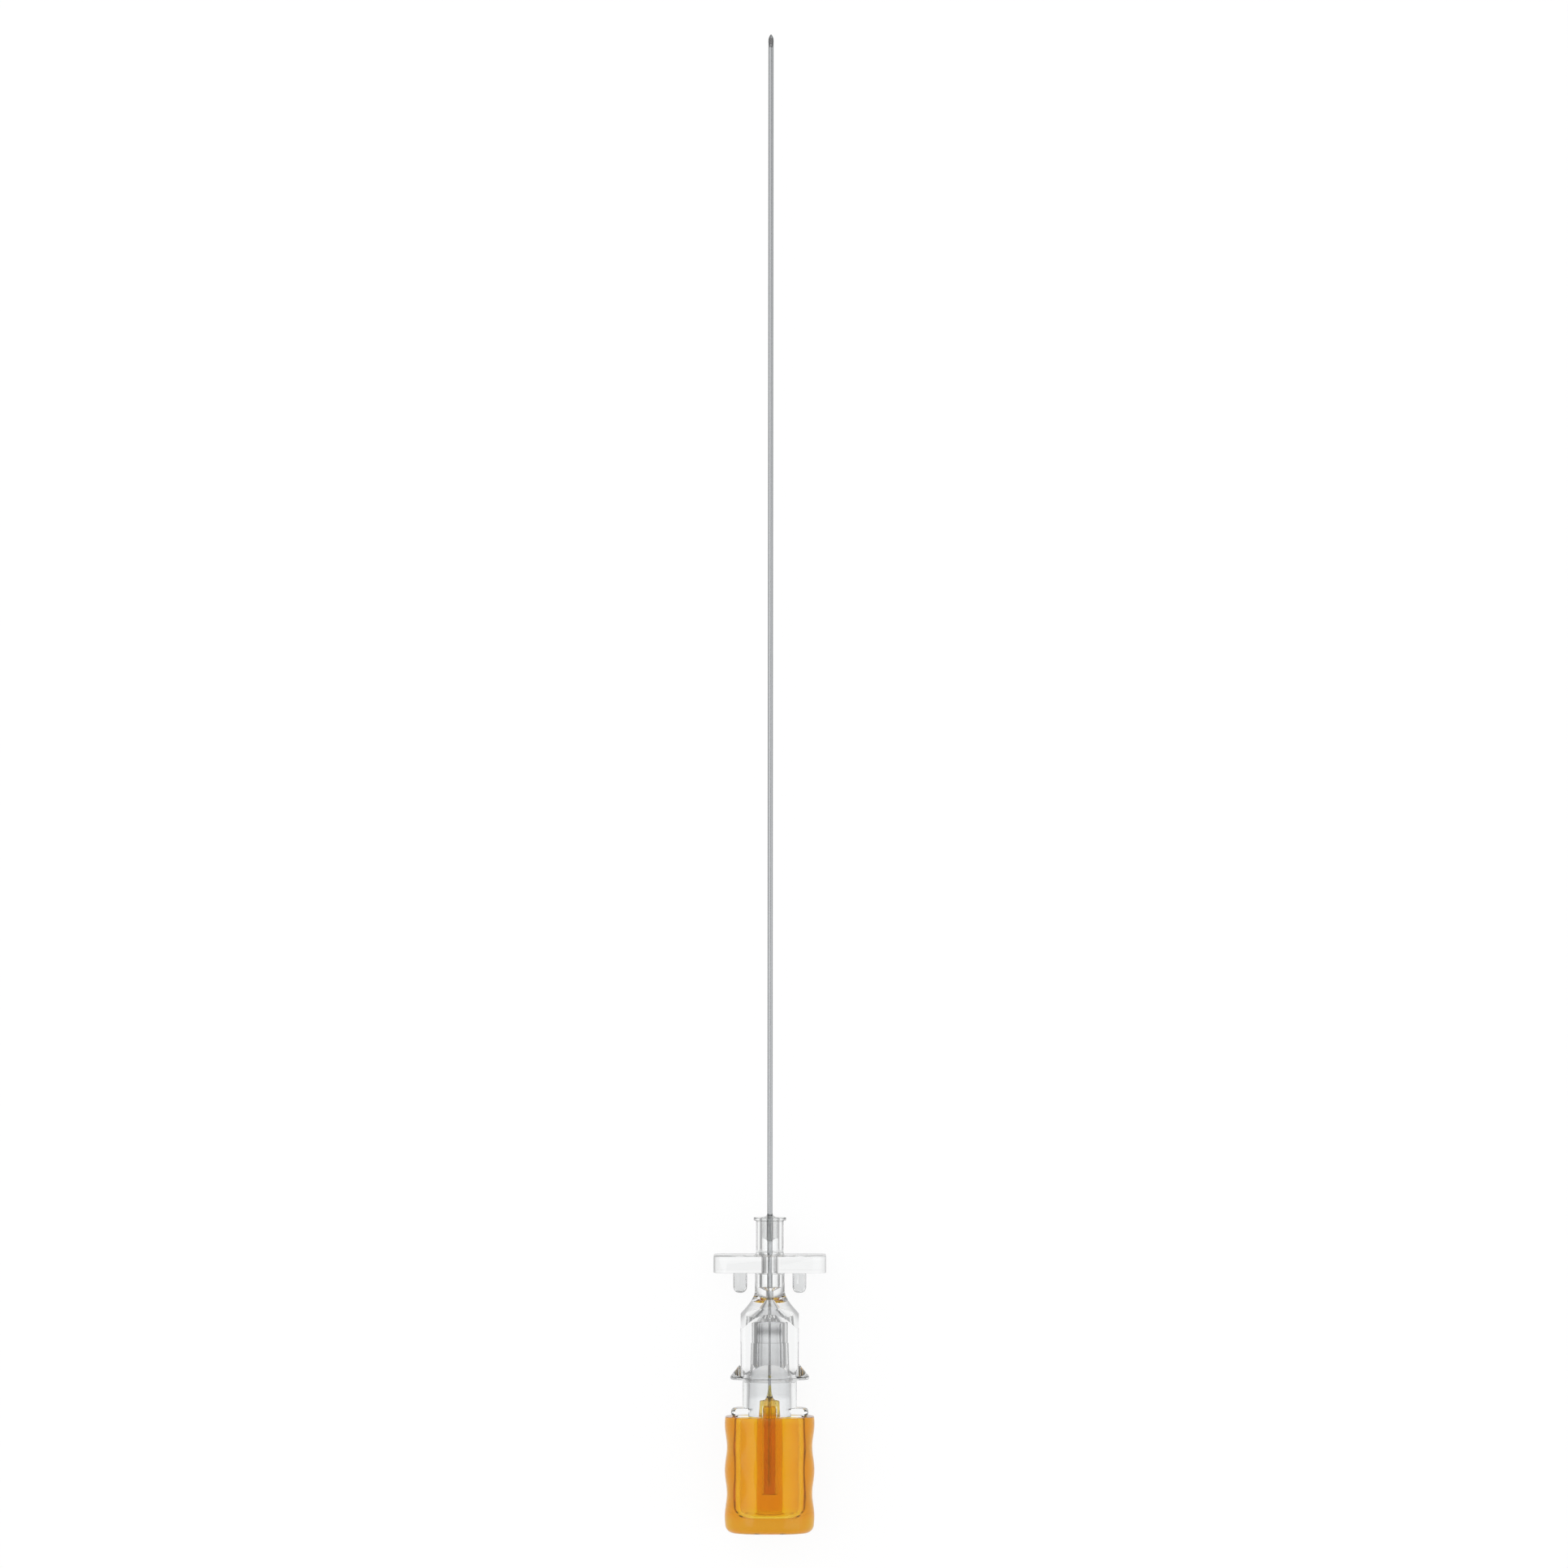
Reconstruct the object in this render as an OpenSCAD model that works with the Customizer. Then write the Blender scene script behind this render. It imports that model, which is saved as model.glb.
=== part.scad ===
// Spinal needle, 25 gauge by 120 mm, with its stylet seated.
// It lies on its back: +Y runs along the cannula to the point, +Z faces up and X runs across the grip plate.
// The origin is on the axis, where the cannula leaves the nose of the hub.
// Each piece is made upright, with its depth behind the nose going down, and is laid down when it is drawn.

/* [Cannula] */
// Length from the nose of the hub to the point
cannula_length = 120; // [60:1:150]
// Outer diameter, 25 gauge
cannula_d = 0.53; // [0.4:0.01:0.72]
// Wall thickness of the thin-walled tube
cannula_wall = 0.105; // [0.07:0.005:0.12]
// Length of the cannula inside the hub
cannula_root = 8.6; // [7.8:0.1:9]
// Angle of the main grind to the axis, in degrees
bevel_angle = 20; // [14:1:30]
// Turn of each side grind about the axis, in degrees
lancet_turn = 35; // [25:1:45]
// Share of the bevel that the two side grinds take, from the point
lancet_share = 0.3; // [0.15:0.05:0.5]

/* [Stylet wire] */
// Running clearance between the wire and the cannula, on the radius
stylet_gap = 0.02; // [0.01:0.005:0.03]
// Depth of wire held in the handle, behind the tip of the plug
wire_grip = 8.8; // [5:0.1:9]

/* [Hub nose] */
// Length of the nose tube in front of the grip plate
nose_length = 3.8; // [3:0.1:6]
// Diameter of the nose tube
nose_d = 2.8; // [2.4:0.1:3.2]
// Diameter of the bead round the mouth of the nose
nose_bead_d = 3.3; // [3.2:0.1:4.2]
// Thickness of that bead
nose_bead_t = 0.3; // [0.2:0.05:0.6]
// Radius of the coves where the nose and the neck meet the grip plate
plate_cove = 0.35; // [0.1:0.05:0.6]
// Diameter of the adhesive well, which runs on past the plate
glue_well_d = 1.7; // [1.2:0.02:2]
// Depth of the straight part of the adhesive well
glue_well_depth = 7.1; // [4:0.1:7.2]
// Depth of the cone below it
glue_well_cone = 0.35; // [0.2:0.05:0.5]
// Depth of the adhesive in the well
glue_fill = 2.1; // [1.2:0.1:3]
// Depth to which the adhesive creeps on along the cannula
glue_creep = 0.4; // [0.2:0.05:0.8]
// Height to which the adhesive climbs the cannula
meniscus = 0.4; // [0.2:0.05:0.8]
// Clearance round the cannula in its seat, on the radius
seat_gap = 0.02; // [0.01:0.005:0.04]

/* [Grip plate] */
// Width of the plate
plate_w = 11.4; // [10:0.1:14]
// Depth of the plate, front to back
plate_d = 8; // [6:0.1:10]
// Thickness of the plate
plate_t = 1.7; // [1.2:0.1:2.2]
// Corner radius of the plate
plate_corner = 1.4; // [0.6:0.1:2]
// Width of each rib under the plate
rib_w = 1.4; // [1:0.05:2]
// Reach of each rib below the plate
rib_reach = 2.1; // [1:0.1:2.4]
// Depth of each rib, front to back
rib_d = 4.4; // [3:0.1:6]
// Distance of each rib's middle from the axis
rib_offset = 3; // [2.9:0.05:3.8]
// Radius of the ribs' lower corners, seen from the front
rib_corner = 0.45; // [0.2:0.05:0.5]
// Radius of the ribs' lower corners, seen from the side
rib_heel = 1; // [0.4:0.1:1]

/* [Hub body] */
// Diameter of the neck below the plate
neck_d = 3; // [2.6:0.1:3.4]
// Length of the neck
neck_length = 1.9; // [1.5:0.1:3]
// Length of the shoulder that widens from neck to body
shoulder_length = 4.3; // [3.4:0.1:5]
// Width of the body over its flat sides
body_w = 5.9; // [5.6:0.1:6.2]
// Radius of the body's long corners
body_corner = 0.5; // [0.3:0.1:1.2]
// Length of the straight body
body_length = 3.1; // [2.4:0.1:5]
// Diameter of the collar
collar_d = 8; // [7:0.1:9]
// Length of the collar's sloping front
collar_slope = 1.3; // [0.8:0.1:2.4]
// Thickness of the collar's rim
collar_rim = 0.3; // [0.3:0.1:1.2]
// Diameter of the barrel behind the collar
barrel_d = 5.5; // [5.3:0.1:5.8]
// Length of the barrel behind the collar
barrel_length = 3.75; // [2.4:0.05:4]

/* [Socket] */
// Diameter of the tapered socket at its mouth
socket_d = 4.3; // [4.2:0.05:4.4]
// Taper of the socket, as change of diameter over length
socket_taper = 0.06; // [0.05:0.005:0.07]
// Depth of the tapered socket
socket_depth = 7.5; // [6.5:0.1:8.5]
// Step from the end of the taper in to the chamber, on the radius
chamber_step = 0.08; // [0.04:0.02:0.2]
// Length of the chamber in front of the taper
chamber_length = 2.1; // [1.6:0.1:2.2]
// Length of the wide funnel in front of the chamber
funnel_length = 0.85; // [0.5:0.05:1]
// Diameter of the throat, where the wide funnel ends
throat_d = 1.5; // [1:0.1:1.8]

/* [Lugs and key] */
// Distance across the two locking lugs
lug_span = 7.83; // [7.6:0.01:8]
// Width of each lug
lug_w = 3.4; // [2.6:0.1:4]
// Thickness of each lug
lug_t = 0.85; // [0.6:0.05:1.2]
// Radius of the lugs' outer edges
lug_edge = 0.3; // [0.05:0.05:0.3]
// Width of the key on the stylet handle
key_w = 1.2; // [0.8:0.1:1.8]
// Depth to which the key enters the rim of the hub
key_depth = 1.1; // [0.6:0.1:1.6]
// Clearance round the key in its notch
key_gap = 0.08; // [0.04:0.02:0.16]

/* [Stylet handle] */
// Length of the handle behind the hub
handle_length = 11.8; // [10.5:0.1:16]
// Width over the finger ridges
handle_w = 9.1; // [8.6:0.1:11]
// Depth of the handle, front to back
handle_d = 8; // [7.6:0.1:10]
// Corner radius of the handle's section
handle_corner = 3.2; // [2.6:0.1:3.6]
// Thickness of the side wall
handle_wall = 1.1; // [0.8:0.05:1.3]
// Thickness of the end wall
handle_floor = 1.5; // [1:0.1:2.2]
// Depth of the finger waists on each side
waist_depth = 0.22; // [0.1:0.02:0.4]
// Radius of the edge round the end
handle_edge = 0.9; // [0.5:0.05:1.2]
// Height of the crown on the end
handle_crown = 0.15; // [0.05:0.05:0.3]
// Diameter of the post inside
post_d = 2.8; // [2.4:0.1:3]
// Air gap between the plug and the mouth of the socket, on the radius
plug_clear = 1.05; // [0.8:0.05:1.1]
// Length of the plug in the socket
plug_length = 1.7; // [1.2:0.05:4]
// Diameter of the plug at its tip
plug_tip_d = 2; // [1.8:0.1:2.2]
// Diameter of the adhesive well in the plug and post
wire_well_d = 1.2; // [0.9:0.05:1.4]
// Adhesive below the end of the wire
wire_well_spare = 0.85; // [0.1:0.05:1.2]
// Height to which the adhesive climbs the wire
wire_meniscus = 1.5; // [0.5:0.1:2]

/* [Hidden] */
$fn = 48;
over = 0.5;

// Radii that follow from the sizes above
cannula_r = cannula_d / 2;
bore_r = cannula_r - cannula_wall;
wire_r = bore_r - stylet_gap;
seat_r = cannula_r + seat_gap;
glue_r = glue_well_d / 2;
wire_glue_r = wire_well_d / 2;
socket_mouth_r = socket_d / 2;
socket_end_r = socket_mouth_r - socket_taper * socket_depth / 2;
chamber_r = socket_end_r - chamber_step;
throat_r = throat_d / 2;
plug_root_r = socket_mouth_r - plug_clear;

// Reach of the body's corners from the axis, and the radius to which the shoulder swells to clear them
body_reach = (body_w / 2 - body_corner) * sqrt(2) + body_corner;
swell_r = body_reach + body_corner / 4;

// Depths behind the nose
plate_front = nose_length;
plate_back = plate_front + plate_t;
neck_end = plate_back + neck_length;
shoulder_end = neck_end + shoulder_length;
body_end = shoulder_end + body_length;
slope_end = body_end + collar_slope;
slope_start = body_end - collar_slope * (body_w - neck_d) / (collar_d - body_w);
collar_end = slope_end + collar_rim;
mouth = collar_end + barrel_length;
socket_end = mouth - socket_depth;
chamber_end = socket_end - chamber_length;
throat = chamber_end - funnel_length;
glue_floor = glue_well_depth + glue_well_cone;
plug_tip = mouth - plug_length;
wire_end = plug_tip + wire_grip;
wire_well_end = wire_end + wire_well_spare;
handle_end = mouth + handle_length;

// The grinds of the point
bevel_length = cannula_d / tan(bevel_angle);
lancet_reach = acos(1 - 2 * lancet_share);
lancet_angle = atan(tan(bevel_angle) * (cos(lancet_turn) + sin(lancet_turn) / tan(lancet_reach / 2)));

// The shoulder swells in an S, from these shares of the change in radius
shoulder_steps = 8;
neck_flare_share = 0.12;

// Crests of the finger ridges, as shares of the handle's length
first_ridge_share = 0.06;
ridge_pitch_share = 0.4;
ridge_steps = 40;
edge_steps = 6;

// Points on an arc, from angle a to angle b
function arc(middle, r, a, b, steps) =
    [for (i = [0 : steps]) middle + r * [cos(a + (b - a) * i / steps), sin(a + (b - a) * i / steps)]];

// Radius of the shoulder at a share of its length, a smooth S from the neck outwards
function shoulder_r(share) =
    let (swell = neck_flare_share * share + (1 - neck_flare_share) * (1 - cos(180 * share)) / 2)
    neck_d / 2 + (swell_r - neck_d / 2) * swell;

// Half width of the handle at a share of its length, from the mouth to the end
function grip_half(share) =
    handle_w / 2 - waist_depth * (1 - cos(360 * (share - first_ridge_share) / ridge_pitch_share)) / 2;

// Lays a piece down: up becomes +Y, and its near side becomes +Z
module laid() {
    rotate([-90, 0, 0]) children();
}

// A disc that starts at a depth behind the nose and reaches forward
module round_bar(depth, length, r) {
    translate([0, 0, -depth]) cylinder(h = length, r = r);
}

// Half of space in front of a ground face that runs through the point
module grind(angle, turn) {
    block = bevel_length + cannula_d + over;
    translate([0, cannula_r, cannula_length])
        rotate([0, 0, turn])
            rotate([90 - angle, 0, 0])
                translate([-block, -block, 0])
                    cube([2 * block, 2 * block, block]);
}

// What the main grind and the two side grinds take off the front of the needle
module point_grinds() {
    grind(bevel_angle, 0);
    for (side = [-1, 1]) grind(lancet_angle, side * lancet_turn);
}

// Steel tube with a lancet point, open from end to end
module cannula() {
    color("silver") laid() difference() {
        round_bar(cannula_root, cannula_root + cannula_length, cannula_r);
        round_bar(cannula_root + over, cannula_root + cannula_length + 2 * over, bore_r);
        point_grinds();
    }
}

// Solid wire that fills the tube, ground with it so that the two faces are flush
module stylet_wire() {
    color("lightsteelblue") laid() difference() {
        round_bar(wire_end, wire_end + cannula_length, wire_r);
        point_grinds();
    }
}

// Outline of the hub's turned surfaces: radius, height
module hub_profile() {
    polygon(concat(
        [
            [0, 0],
            [nose_bead_d / 2, 0],
            [nose_bead_d / 2, -nose_bead_t],
            [nose_d / 2, -nose_bead_t]
        ],
        arc([nose_d / 2 + plate_cove, -plate_front + plate_cove], plate_cove, 180, 270, edge_steps),
        arc([neck_d / 2 + plate_cove, -plate_back - plate_cove], plate_cove, 90, 180, edge_steps),
        [
            [neck_d / 2, -slope_start],
            [collar_d / 2, -slope_end],
            [collar_d / 2, -collar_end],
            [barrel_d / 2, -collar_end],
            [barrel_d / 2, -mouth],
            [0, -mouth]
        ]
    ));
}

// Outline of the swelling that the flats of the body are cut from: radius, height
module body_profile() {
    polygon(concat(
        [[0, -neck_end], [neck_d / 2, -neck_end]],
        [for (i = [1 : shoulder_steps])
            [shoulder_r(i / shoulder_steps), -neck_end - shoulder_length * i / shoulder_steps]],
        [[swell_r, -slope_end], [0, -slope_end]]
    ));
}

// Body with four flat sides, which run out on the shoulder in front and in the collar behind
module hub_body() {
    intersection() {
        rotate_extrude() body_profile();
        translate([0, 0, -slope_end]) linear_extrude(slope_end - neck_end) rounded([body_w, body_w], body_corner);
    }
}

// Outline of everything that is open inside the hub: radius, height
module hub_bore_profile() {
    polygon([
        [0, over],
        [glue_r, over],
        [glue_r, -glue_well_depth],
        [seat_r, -glue_floor],
        [seat_r, -cannula_root],
        [throat_r, -throat],
        [chamber_r, -chamber_end],
        [chamber_r, -socket_end],
        [socket_end_r, -socket_end],
        [socket_mouth_r, -mouth],
        [socket_mouth_r, -mouth - over],
        [0, -mouth - over]
    ]);
}

// Rectangle with round corners, centred
module rounded(size, r) {
    square([size[0] - 2 * r, size[1]], center = true);
    square([size[0], size[1] - 2 * r], center = true);
    for (x = [-1, 1], y = [-1, 1])
        translate([x * (size[0] / 2 - r), y * (size[1] / 2 - r)]) circle(r = r);
}

// Grip plate across the hub, with a rib under each wing
module grip_plate() {
    translate([0, 0, -plate_back]) linear_extrude(plate_t) rounded([plate_w, plate_d], plate_corner);
    for (side = [-1, 1]) translate([side * rib_offset, 0, 0]) grip_rib();
}

// Rib with its lower corners rounded, as seen from the front and from the side
module grip_rib() {
    intersection() {
        rotate([90, 0, 0]) linear_extrude(rib_d, center = true) rib_outline(rib_w, rib_corner);
        rotate([90, 0, 90]) linear_extrude(rib_w, center = true) rib_outline(rib_d, rib_heel);
    }
}

// Outline of a rib that hangs from the middle of the plate, its two lower corners rounded
module rib_outline(width, corner) {
    half = width / 2 - corner;
    low = -plate_back - rib_reach + corner;
    polygon(concat(
        [[width / 2, -plate_back + plate_t / 2], [-width / 2, -plate_back + plate_t / 2]],
        arc([-half, low], corner, 180, 270, edge_steps),
        arc([half, low], corner, 270, 360, edge_steps)
    ));
}

// Two lugs across the mouth, turned round at their ends with soft edges
module lugs() {
    rim = lug_span / 2 - lug_edge;
    intersection() {
        rotate_extrude() polygon(concat(
            [[0, -mouth]],
            arc([rim, -mouth + lug_edge], lug_edge, 270, 360, edge_steps),
            arc([rim, -mouth + lug_t - lug_edge], lug_edge, 0, 90, edge_steps),
            [[0, -mouth + lug_t]]
        ));
        translate([-lug_span, -lug_w / 2, -mouth]) cube([2 * lug_span, lug_w, lug_t]);
    }
}

// One clear moulding: nose, grip plate, flat-sided body, collar, barrel and lugs, round one stepped bore
module hub() {
    color("whitesmoke", 0.5) laid() difference() {
        union() {
            rotate_extrude() hub_profile();
            hub_body();
            grip_plate();
            lugs();
        }
        rotate_extrude() hub_bore_profile();
        translate([-key_w / 2 - key_gap, -barrel_d / 2 - over, -mouth - over])
            cube([key_w + 2 * key_gap, barrel_d / 2 + over, over + key_depth + key_gap]);
    }
}

// Ring of set adhesive that holds the cannula in the nose
module hub_adhesive() {
    color("ivory") laid() rotate_extrude() polygon([
        [cannula_r, meniscus],
        [glue_r, 0],
        [glue_r, -glue_fill],
        [cannula_r, -glue_fill - glue_creep]
    ]);
}

// Outline of the handle from the front, with its finger waists
module handle_front_outline() {
    wave_end_share = 1 - handle_edge / handle_length;
    steps = ridge_steps;
    right = [for (i = [0 : steps])
        let (share = wave_end_share * i / steps) [grip_half(share), -mouth - handle_length * share]];
    outline(concat([[right[0][0], -mouth]], right), grip_half(wave_end_share));
}

// Outline of the handle from the side, straight down to its edge
module handle_side_outline() {
    half = handle_d / 2;
    outline([[half, -mouth], [half, -handle_end + handle_edge]], half);
}

// Closed outline from the right side, mirrored, with round lower corners and a crowned end
module outline(right, half) {
    corner = arc([half - handle_edge, -handle_end + handle_edge], handle_edge, 0, -90, edge_steps);
    crown = [[0, -handle_end - handle_crown]];
    one_side = concat(right, corner);
    other_side = [for (i = [len(one_side) - 1 : -1 : 0]) [-one_side[i][0], one_side[i][1]]];
    polygon(concat(one_side, crown, other_side));
}

// The handle's section, drawn in by an inset
module handle_section(inset) {
    rounded([handle_w - 2 * inset, handle_d - 2 * inset], handle_corner - inset);
}

// Outer form of the handle, before it is hollowed
module handle_shell() {
    reach = handle_w + handle_d;
    intersection() {
        translate([0, 0, -handle_end - over]) linear_extrude(handle_length + over) handle_section(0);
        rotate([90, 0, 0]) linear_extrude(reach, center = true) handle_front_outline();
        rotate([90, 0, 90]) linear_extrude(reach, center = true) handle_side_outline();
    }
}

// Post and plug in one turned form: radius, height
module post_profile() {
    polygon([
        [0, -plug_tip],
        [plug_tip_d / 2, -plug_tip],
        [plug_root_r, -mouth],
        [post_d / 2, -mouth],
        [post_d / 2, -handle_end + handle_floor / 2],
        [0, -handle_end + handle_floor / 2]
    ]);
}

// Key on the near side of the post, which enters the notch in the rim of the hub
module key() {
    translate([-key_w / 2, -barrel_d / 2, -mouth - key_depth])
        cube([key_w, barrel_d / 2, 2 * key_depth]);
}

// Coloured cup with a plug on its post, hollow all round the post
module stylet_handle() {
    color("orange") laid() difference() {
        union() {
            difference() {
                handle_shell();
                translate([0, 0, -handle_end + handle_floor])
                    linear_extrude(handle_length) handle_section(handle_wall);
            }
            rotate_extrude() post_profile();
            key();
        }
        round_bar(wire_well_end, wire_well_end, wire_glue_r);
    }
}

// Set adhesive that fills the well in the handle round the wire
module stylet_adhesive() {
    color("darkorange") laid() difference() {
        union() {
            round_bar(wire_well_end, wire_well_end - plug_tip, wire_glue_r);
            translate([0, 0, -plug_tip]) cylinder(h = wire_meniscus, r1 = wire_glue_r, r2 = wire_r);
        }
        round_bar(wire_end, wire_end, wire_r);
    }
}

cannula();
hub();
hub_adhesive();
stylet_wire();
stylet_handle();
stylet_adhesive();
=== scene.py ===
import logging
import math
from dataclasses import dataclass, field
from enum import Enum
from typing import Callable, Optional, Sequence

import bmesh
import bpy
from mathutils import Matrix, Vector


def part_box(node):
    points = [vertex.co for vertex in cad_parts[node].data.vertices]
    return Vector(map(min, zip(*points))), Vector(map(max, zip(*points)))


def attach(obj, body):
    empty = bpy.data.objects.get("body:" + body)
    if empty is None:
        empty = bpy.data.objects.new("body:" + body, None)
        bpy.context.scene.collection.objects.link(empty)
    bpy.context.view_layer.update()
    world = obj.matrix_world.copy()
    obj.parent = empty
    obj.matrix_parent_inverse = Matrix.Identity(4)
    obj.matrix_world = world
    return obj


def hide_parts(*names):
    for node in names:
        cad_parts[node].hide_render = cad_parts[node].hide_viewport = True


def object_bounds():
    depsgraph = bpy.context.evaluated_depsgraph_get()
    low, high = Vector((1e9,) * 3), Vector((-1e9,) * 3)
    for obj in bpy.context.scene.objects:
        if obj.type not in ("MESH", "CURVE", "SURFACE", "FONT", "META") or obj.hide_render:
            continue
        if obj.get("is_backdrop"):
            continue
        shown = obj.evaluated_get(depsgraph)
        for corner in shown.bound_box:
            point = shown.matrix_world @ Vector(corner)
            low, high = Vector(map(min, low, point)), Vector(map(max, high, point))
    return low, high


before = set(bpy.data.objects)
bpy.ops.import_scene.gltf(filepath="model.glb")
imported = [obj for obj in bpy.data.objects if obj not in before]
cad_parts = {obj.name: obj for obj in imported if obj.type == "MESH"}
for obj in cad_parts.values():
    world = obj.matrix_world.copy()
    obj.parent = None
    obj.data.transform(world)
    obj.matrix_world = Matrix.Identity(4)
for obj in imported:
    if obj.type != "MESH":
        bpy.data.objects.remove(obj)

MM = 0.001
LOG = logging.getLogger("spinal_needle")

Point = tuple[float, float]
Colour = tuple[float, float, float]


class Body(Enum):
    """The two bodies that the pieces ride on."""

    NEEDLE = "needle"
    STYLET = "stylet"


class Axis(Enum):
    """The three directions of the frame: across, along the cannula, and up."""

    ACROSS = Vector((1.0, 0.0, 0.0))
    ALONG = Vector((0.0, 1.0, 0.0))
    UP = Vector((0.0, 0.0, 1.0))


@dataclass(frozen=True)
class Corner:
    """A corner of a turned outline, in millimetres.

    Args:
        radius: Distance from the needle's axis.
        place: Place along the axis, where the nose of the hub is zero.
        fillet: Radius that rounds the corner.
    """

    radius: float
    place: float
    fillet: float = 0.0


def arc(middle: Point, radius: float, start: float, end: float, steps: int) -> list[Point]:
    """Gives points on an arc.

    Args:
        middle: Centre of the arc.
        radius: Its radius.
        start: First angle, in degrees.
        end: Last angle, in degrees.
        steps: Number of chords.

    Returns:
        The points, from start to end.
    """
    angles = [math.radians(start + (end - start) * i / steps) for i in range(steps + 1)]
    return [(middle[0] + radius * math.cos(a), middle[1] + radius * math.sin(a)) for a in angles]


def rounded_outline(corners: Sequence[Corner], steps: int = 6) -> list[Point]:
    """Rounds each corner of an open outline by its own fillet.

    Args:
        corners: The sharp outline, in order.
        steps: Number of chords in each fillet.

    Returns:
        Points of the rounded outline, in millimetres.
    """
    points: list[Point] = [(corners[0].radius, corners[0].place)]
    for before, here, after in zip(corners, corners[1:], corners[2:]):
        middle = Vector((here.radius, here.place))
        back = Vector((before.radius, before.place)) - middle
        ahead = Vector((after.radius, after.place)) - middle
        half = back.angle(ahead) / 2
        reach = min(here.fillet / math.tan(half), 0.49 * back.length, 0.49 * ahead.length)
        if reach < 1e-6:
            points.append((here.radius, here.place))
            continue
        start = middle + back.normalized() * reach
        end = middle + ahead.normalized() * reach
        for i in range(steps + 1):
            share = i / steps
            bent = start * (1 - share) ** 2 + middle * 2 * share * (1 - share) + end * share ** 2
            points.append((bent.x, bent.y))
    points.append((corners[-1].radius, corners[-1].place))
    return points


def turned(outline: Sequence[Point], segments: int, closed: bool = False) -> bmesh.types.BMesh:
    """Turns an outline about the needle's axis.

    Args:
        outline: Radius and place of each point, in millimetres.
        segments: Number of steps round the axis.
        closed: Whether the last point joins the first.

    Returns:
        A closed mesh with its normals outwards.
    """
    bm = bmesh.new()
    verts = [bm.verts.new((r * MM, y * MM, 0.0)) for r, y in outline]
    edges = [bm.edges.new(pair) for pair in zip(verts, verts[1:])]
    if closed:
        edges.append(bm.edges.new((verts[-1], verts[0])))
    bmesh.ops.spin(
        bm,
        geom=verts + edges,
        cent=(0.0, 0.0, 0.0),
        axis=Axis.ALONG.value,
        angle=math.tau,
        steps=segments,
        use_merge=True,
    )
    bmesh.ops.remove_doubles(bm, verts=bm.verts, dist=1e-7)
    bmesh.ops.dissolve_degenerate(bm, edges=bm.edges, dist=1e-8)
    bmesh.ops.recalc_face_normals(bm, faces=bm.faces)
    return bm


def block(low: Vector, high: Vector) -> bmesh.types.BMesh:
    """Makes a sharp block between two corners.

    Args:
        low: Lowest corner, in millimetres.
        high: Highest corner, in millimetres.

    Returns:
        The block's mesh.
    """
    bm = bmesh.new()
    bmesh.ops.create_cube(bm, size=1.0)
    bmesh.ops.scale(bm, vec=(high - low) * MM, verts=bm.verts)
    bmesh.ops.translate(bm, vec=(high + low) / 2 * MM, verts=bm.verts)
    return bm


def slab(low: Vector, high: Vector, corner: float, corner_axis: Axis, edge: float) -> bmesh.types.BMesh:
    """Makes a block with four rounded corners and softened edges.

    Args:
        low: Lowest corner, in millimetres.
        high: Highest corner, in millimetres.
        corner: Radius of the four edges that run along corner_axis.
        corner_axis: Direction of those four edges.
        edge: Radius of every other edge.

    Returns:
        The block's mesh.
    """
    bm = block(low, high)
    along = corner_axis.value
    corners = [e for e in bm.edges if abs((e.verts[1].co - e.verts[0].co).normalized().dot(along)) > 0.99]
    bevelled(bm, corners, corner, 8)
    rims = [e for e in bm.edges if abs((e.verts[1].co - e.verts[0].co).normalized().dot(along)) < 0.01]
    bevelled(bm, rims, edge, 3)
    return bm


def meniscus(wide: float, narrow: float, place: float, climb: float) -> list[Point]:
    """Draws the hollow curve in which a liquid ends between a wall and a rod.

    Args:
        wide: Radius at the wall.
        narrow: Radius at the rod.
        place: Place along the axis at the wall.
        climb: How far it climbs the rod, negative for the other way.

    Returns:
        Points from the wall to the rod, in millimetres.
    """
    angles = [math.radians(a) for a in range(0, 91, 10)]
    return [(wide - (wide - narrow) * math.sin(a), place + climb * (1 - math.cos(a))) for a in angles]


def bevelled(bm: bmesh.types.BMesh, edges: list, radius: float, segments: int) -> None:
    """Rounds some edges of a mesh.

    Args:
        bm: The mesh.
        edges: The edges to round.
        radius: Radius in millimetres.
        segments: Number of strips in the round.
    """
    bmesh.ops.bevel(
        bm,
        geom=edges,
        offset=radius * MM,
        offset_type="OFFSET",
        segments=segments,
        profile=0.5,
        affect="EDGES",
        clamp_overlap=True,
        material=-1,
    )


def new_object(name: str, bm: bmesh.types.BMesh) -> bpy.types.Object:
    """Makes an object at the origin from a mesh, and frees the mesh.

    Args:
        name: Name of the object.
        bm: Its mesh.

    Returns:
        The object, linked to the scene.
    """
    mesh = bpy.data.meshes.new(name)
    bm.to_mesh(mesh)
    bm.free()
    made = bpy.data.objects.new(name, mesh)
    bpy.context.scene.collection.objects.link(made)
    return made


class Join(Enum):
    """How a second form meets the first."""

    WELD = "UNION"
    CUT = "DIFFERENCE"
    TRIM = "INTERSECT"


def combined(base: bpy.types.Object, tool: bmesh.types.BMesh, how: Join) -> bpy.types.Object:
    """Welds a form to an object or cuts it out, and keeps the result as the object's mesh.

    Args:
        base: The object that changes.
        tool: The form that is welded or cut.
        how: Whether it is welded or cut.

    Returns:
        The base object.
    """
    cutter = new_object("tool", tool)
    step = base.modifiers.new("step", "BOOLEAN")
    step.operation = how.value
    step.solver = "EXACT"
    step.object = cutter
    graph = bpy.context.evaluated_depsgraph_get()
    result = bpy.data.meshes.new_from_object(base.evaluated_get(graph))
    base.modifiers.clear()
    old = base.data
    base.data = result
    bpy.data.meshes.remove(old)
    bpy.data.objects.remove(cutter)
    return base


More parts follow.
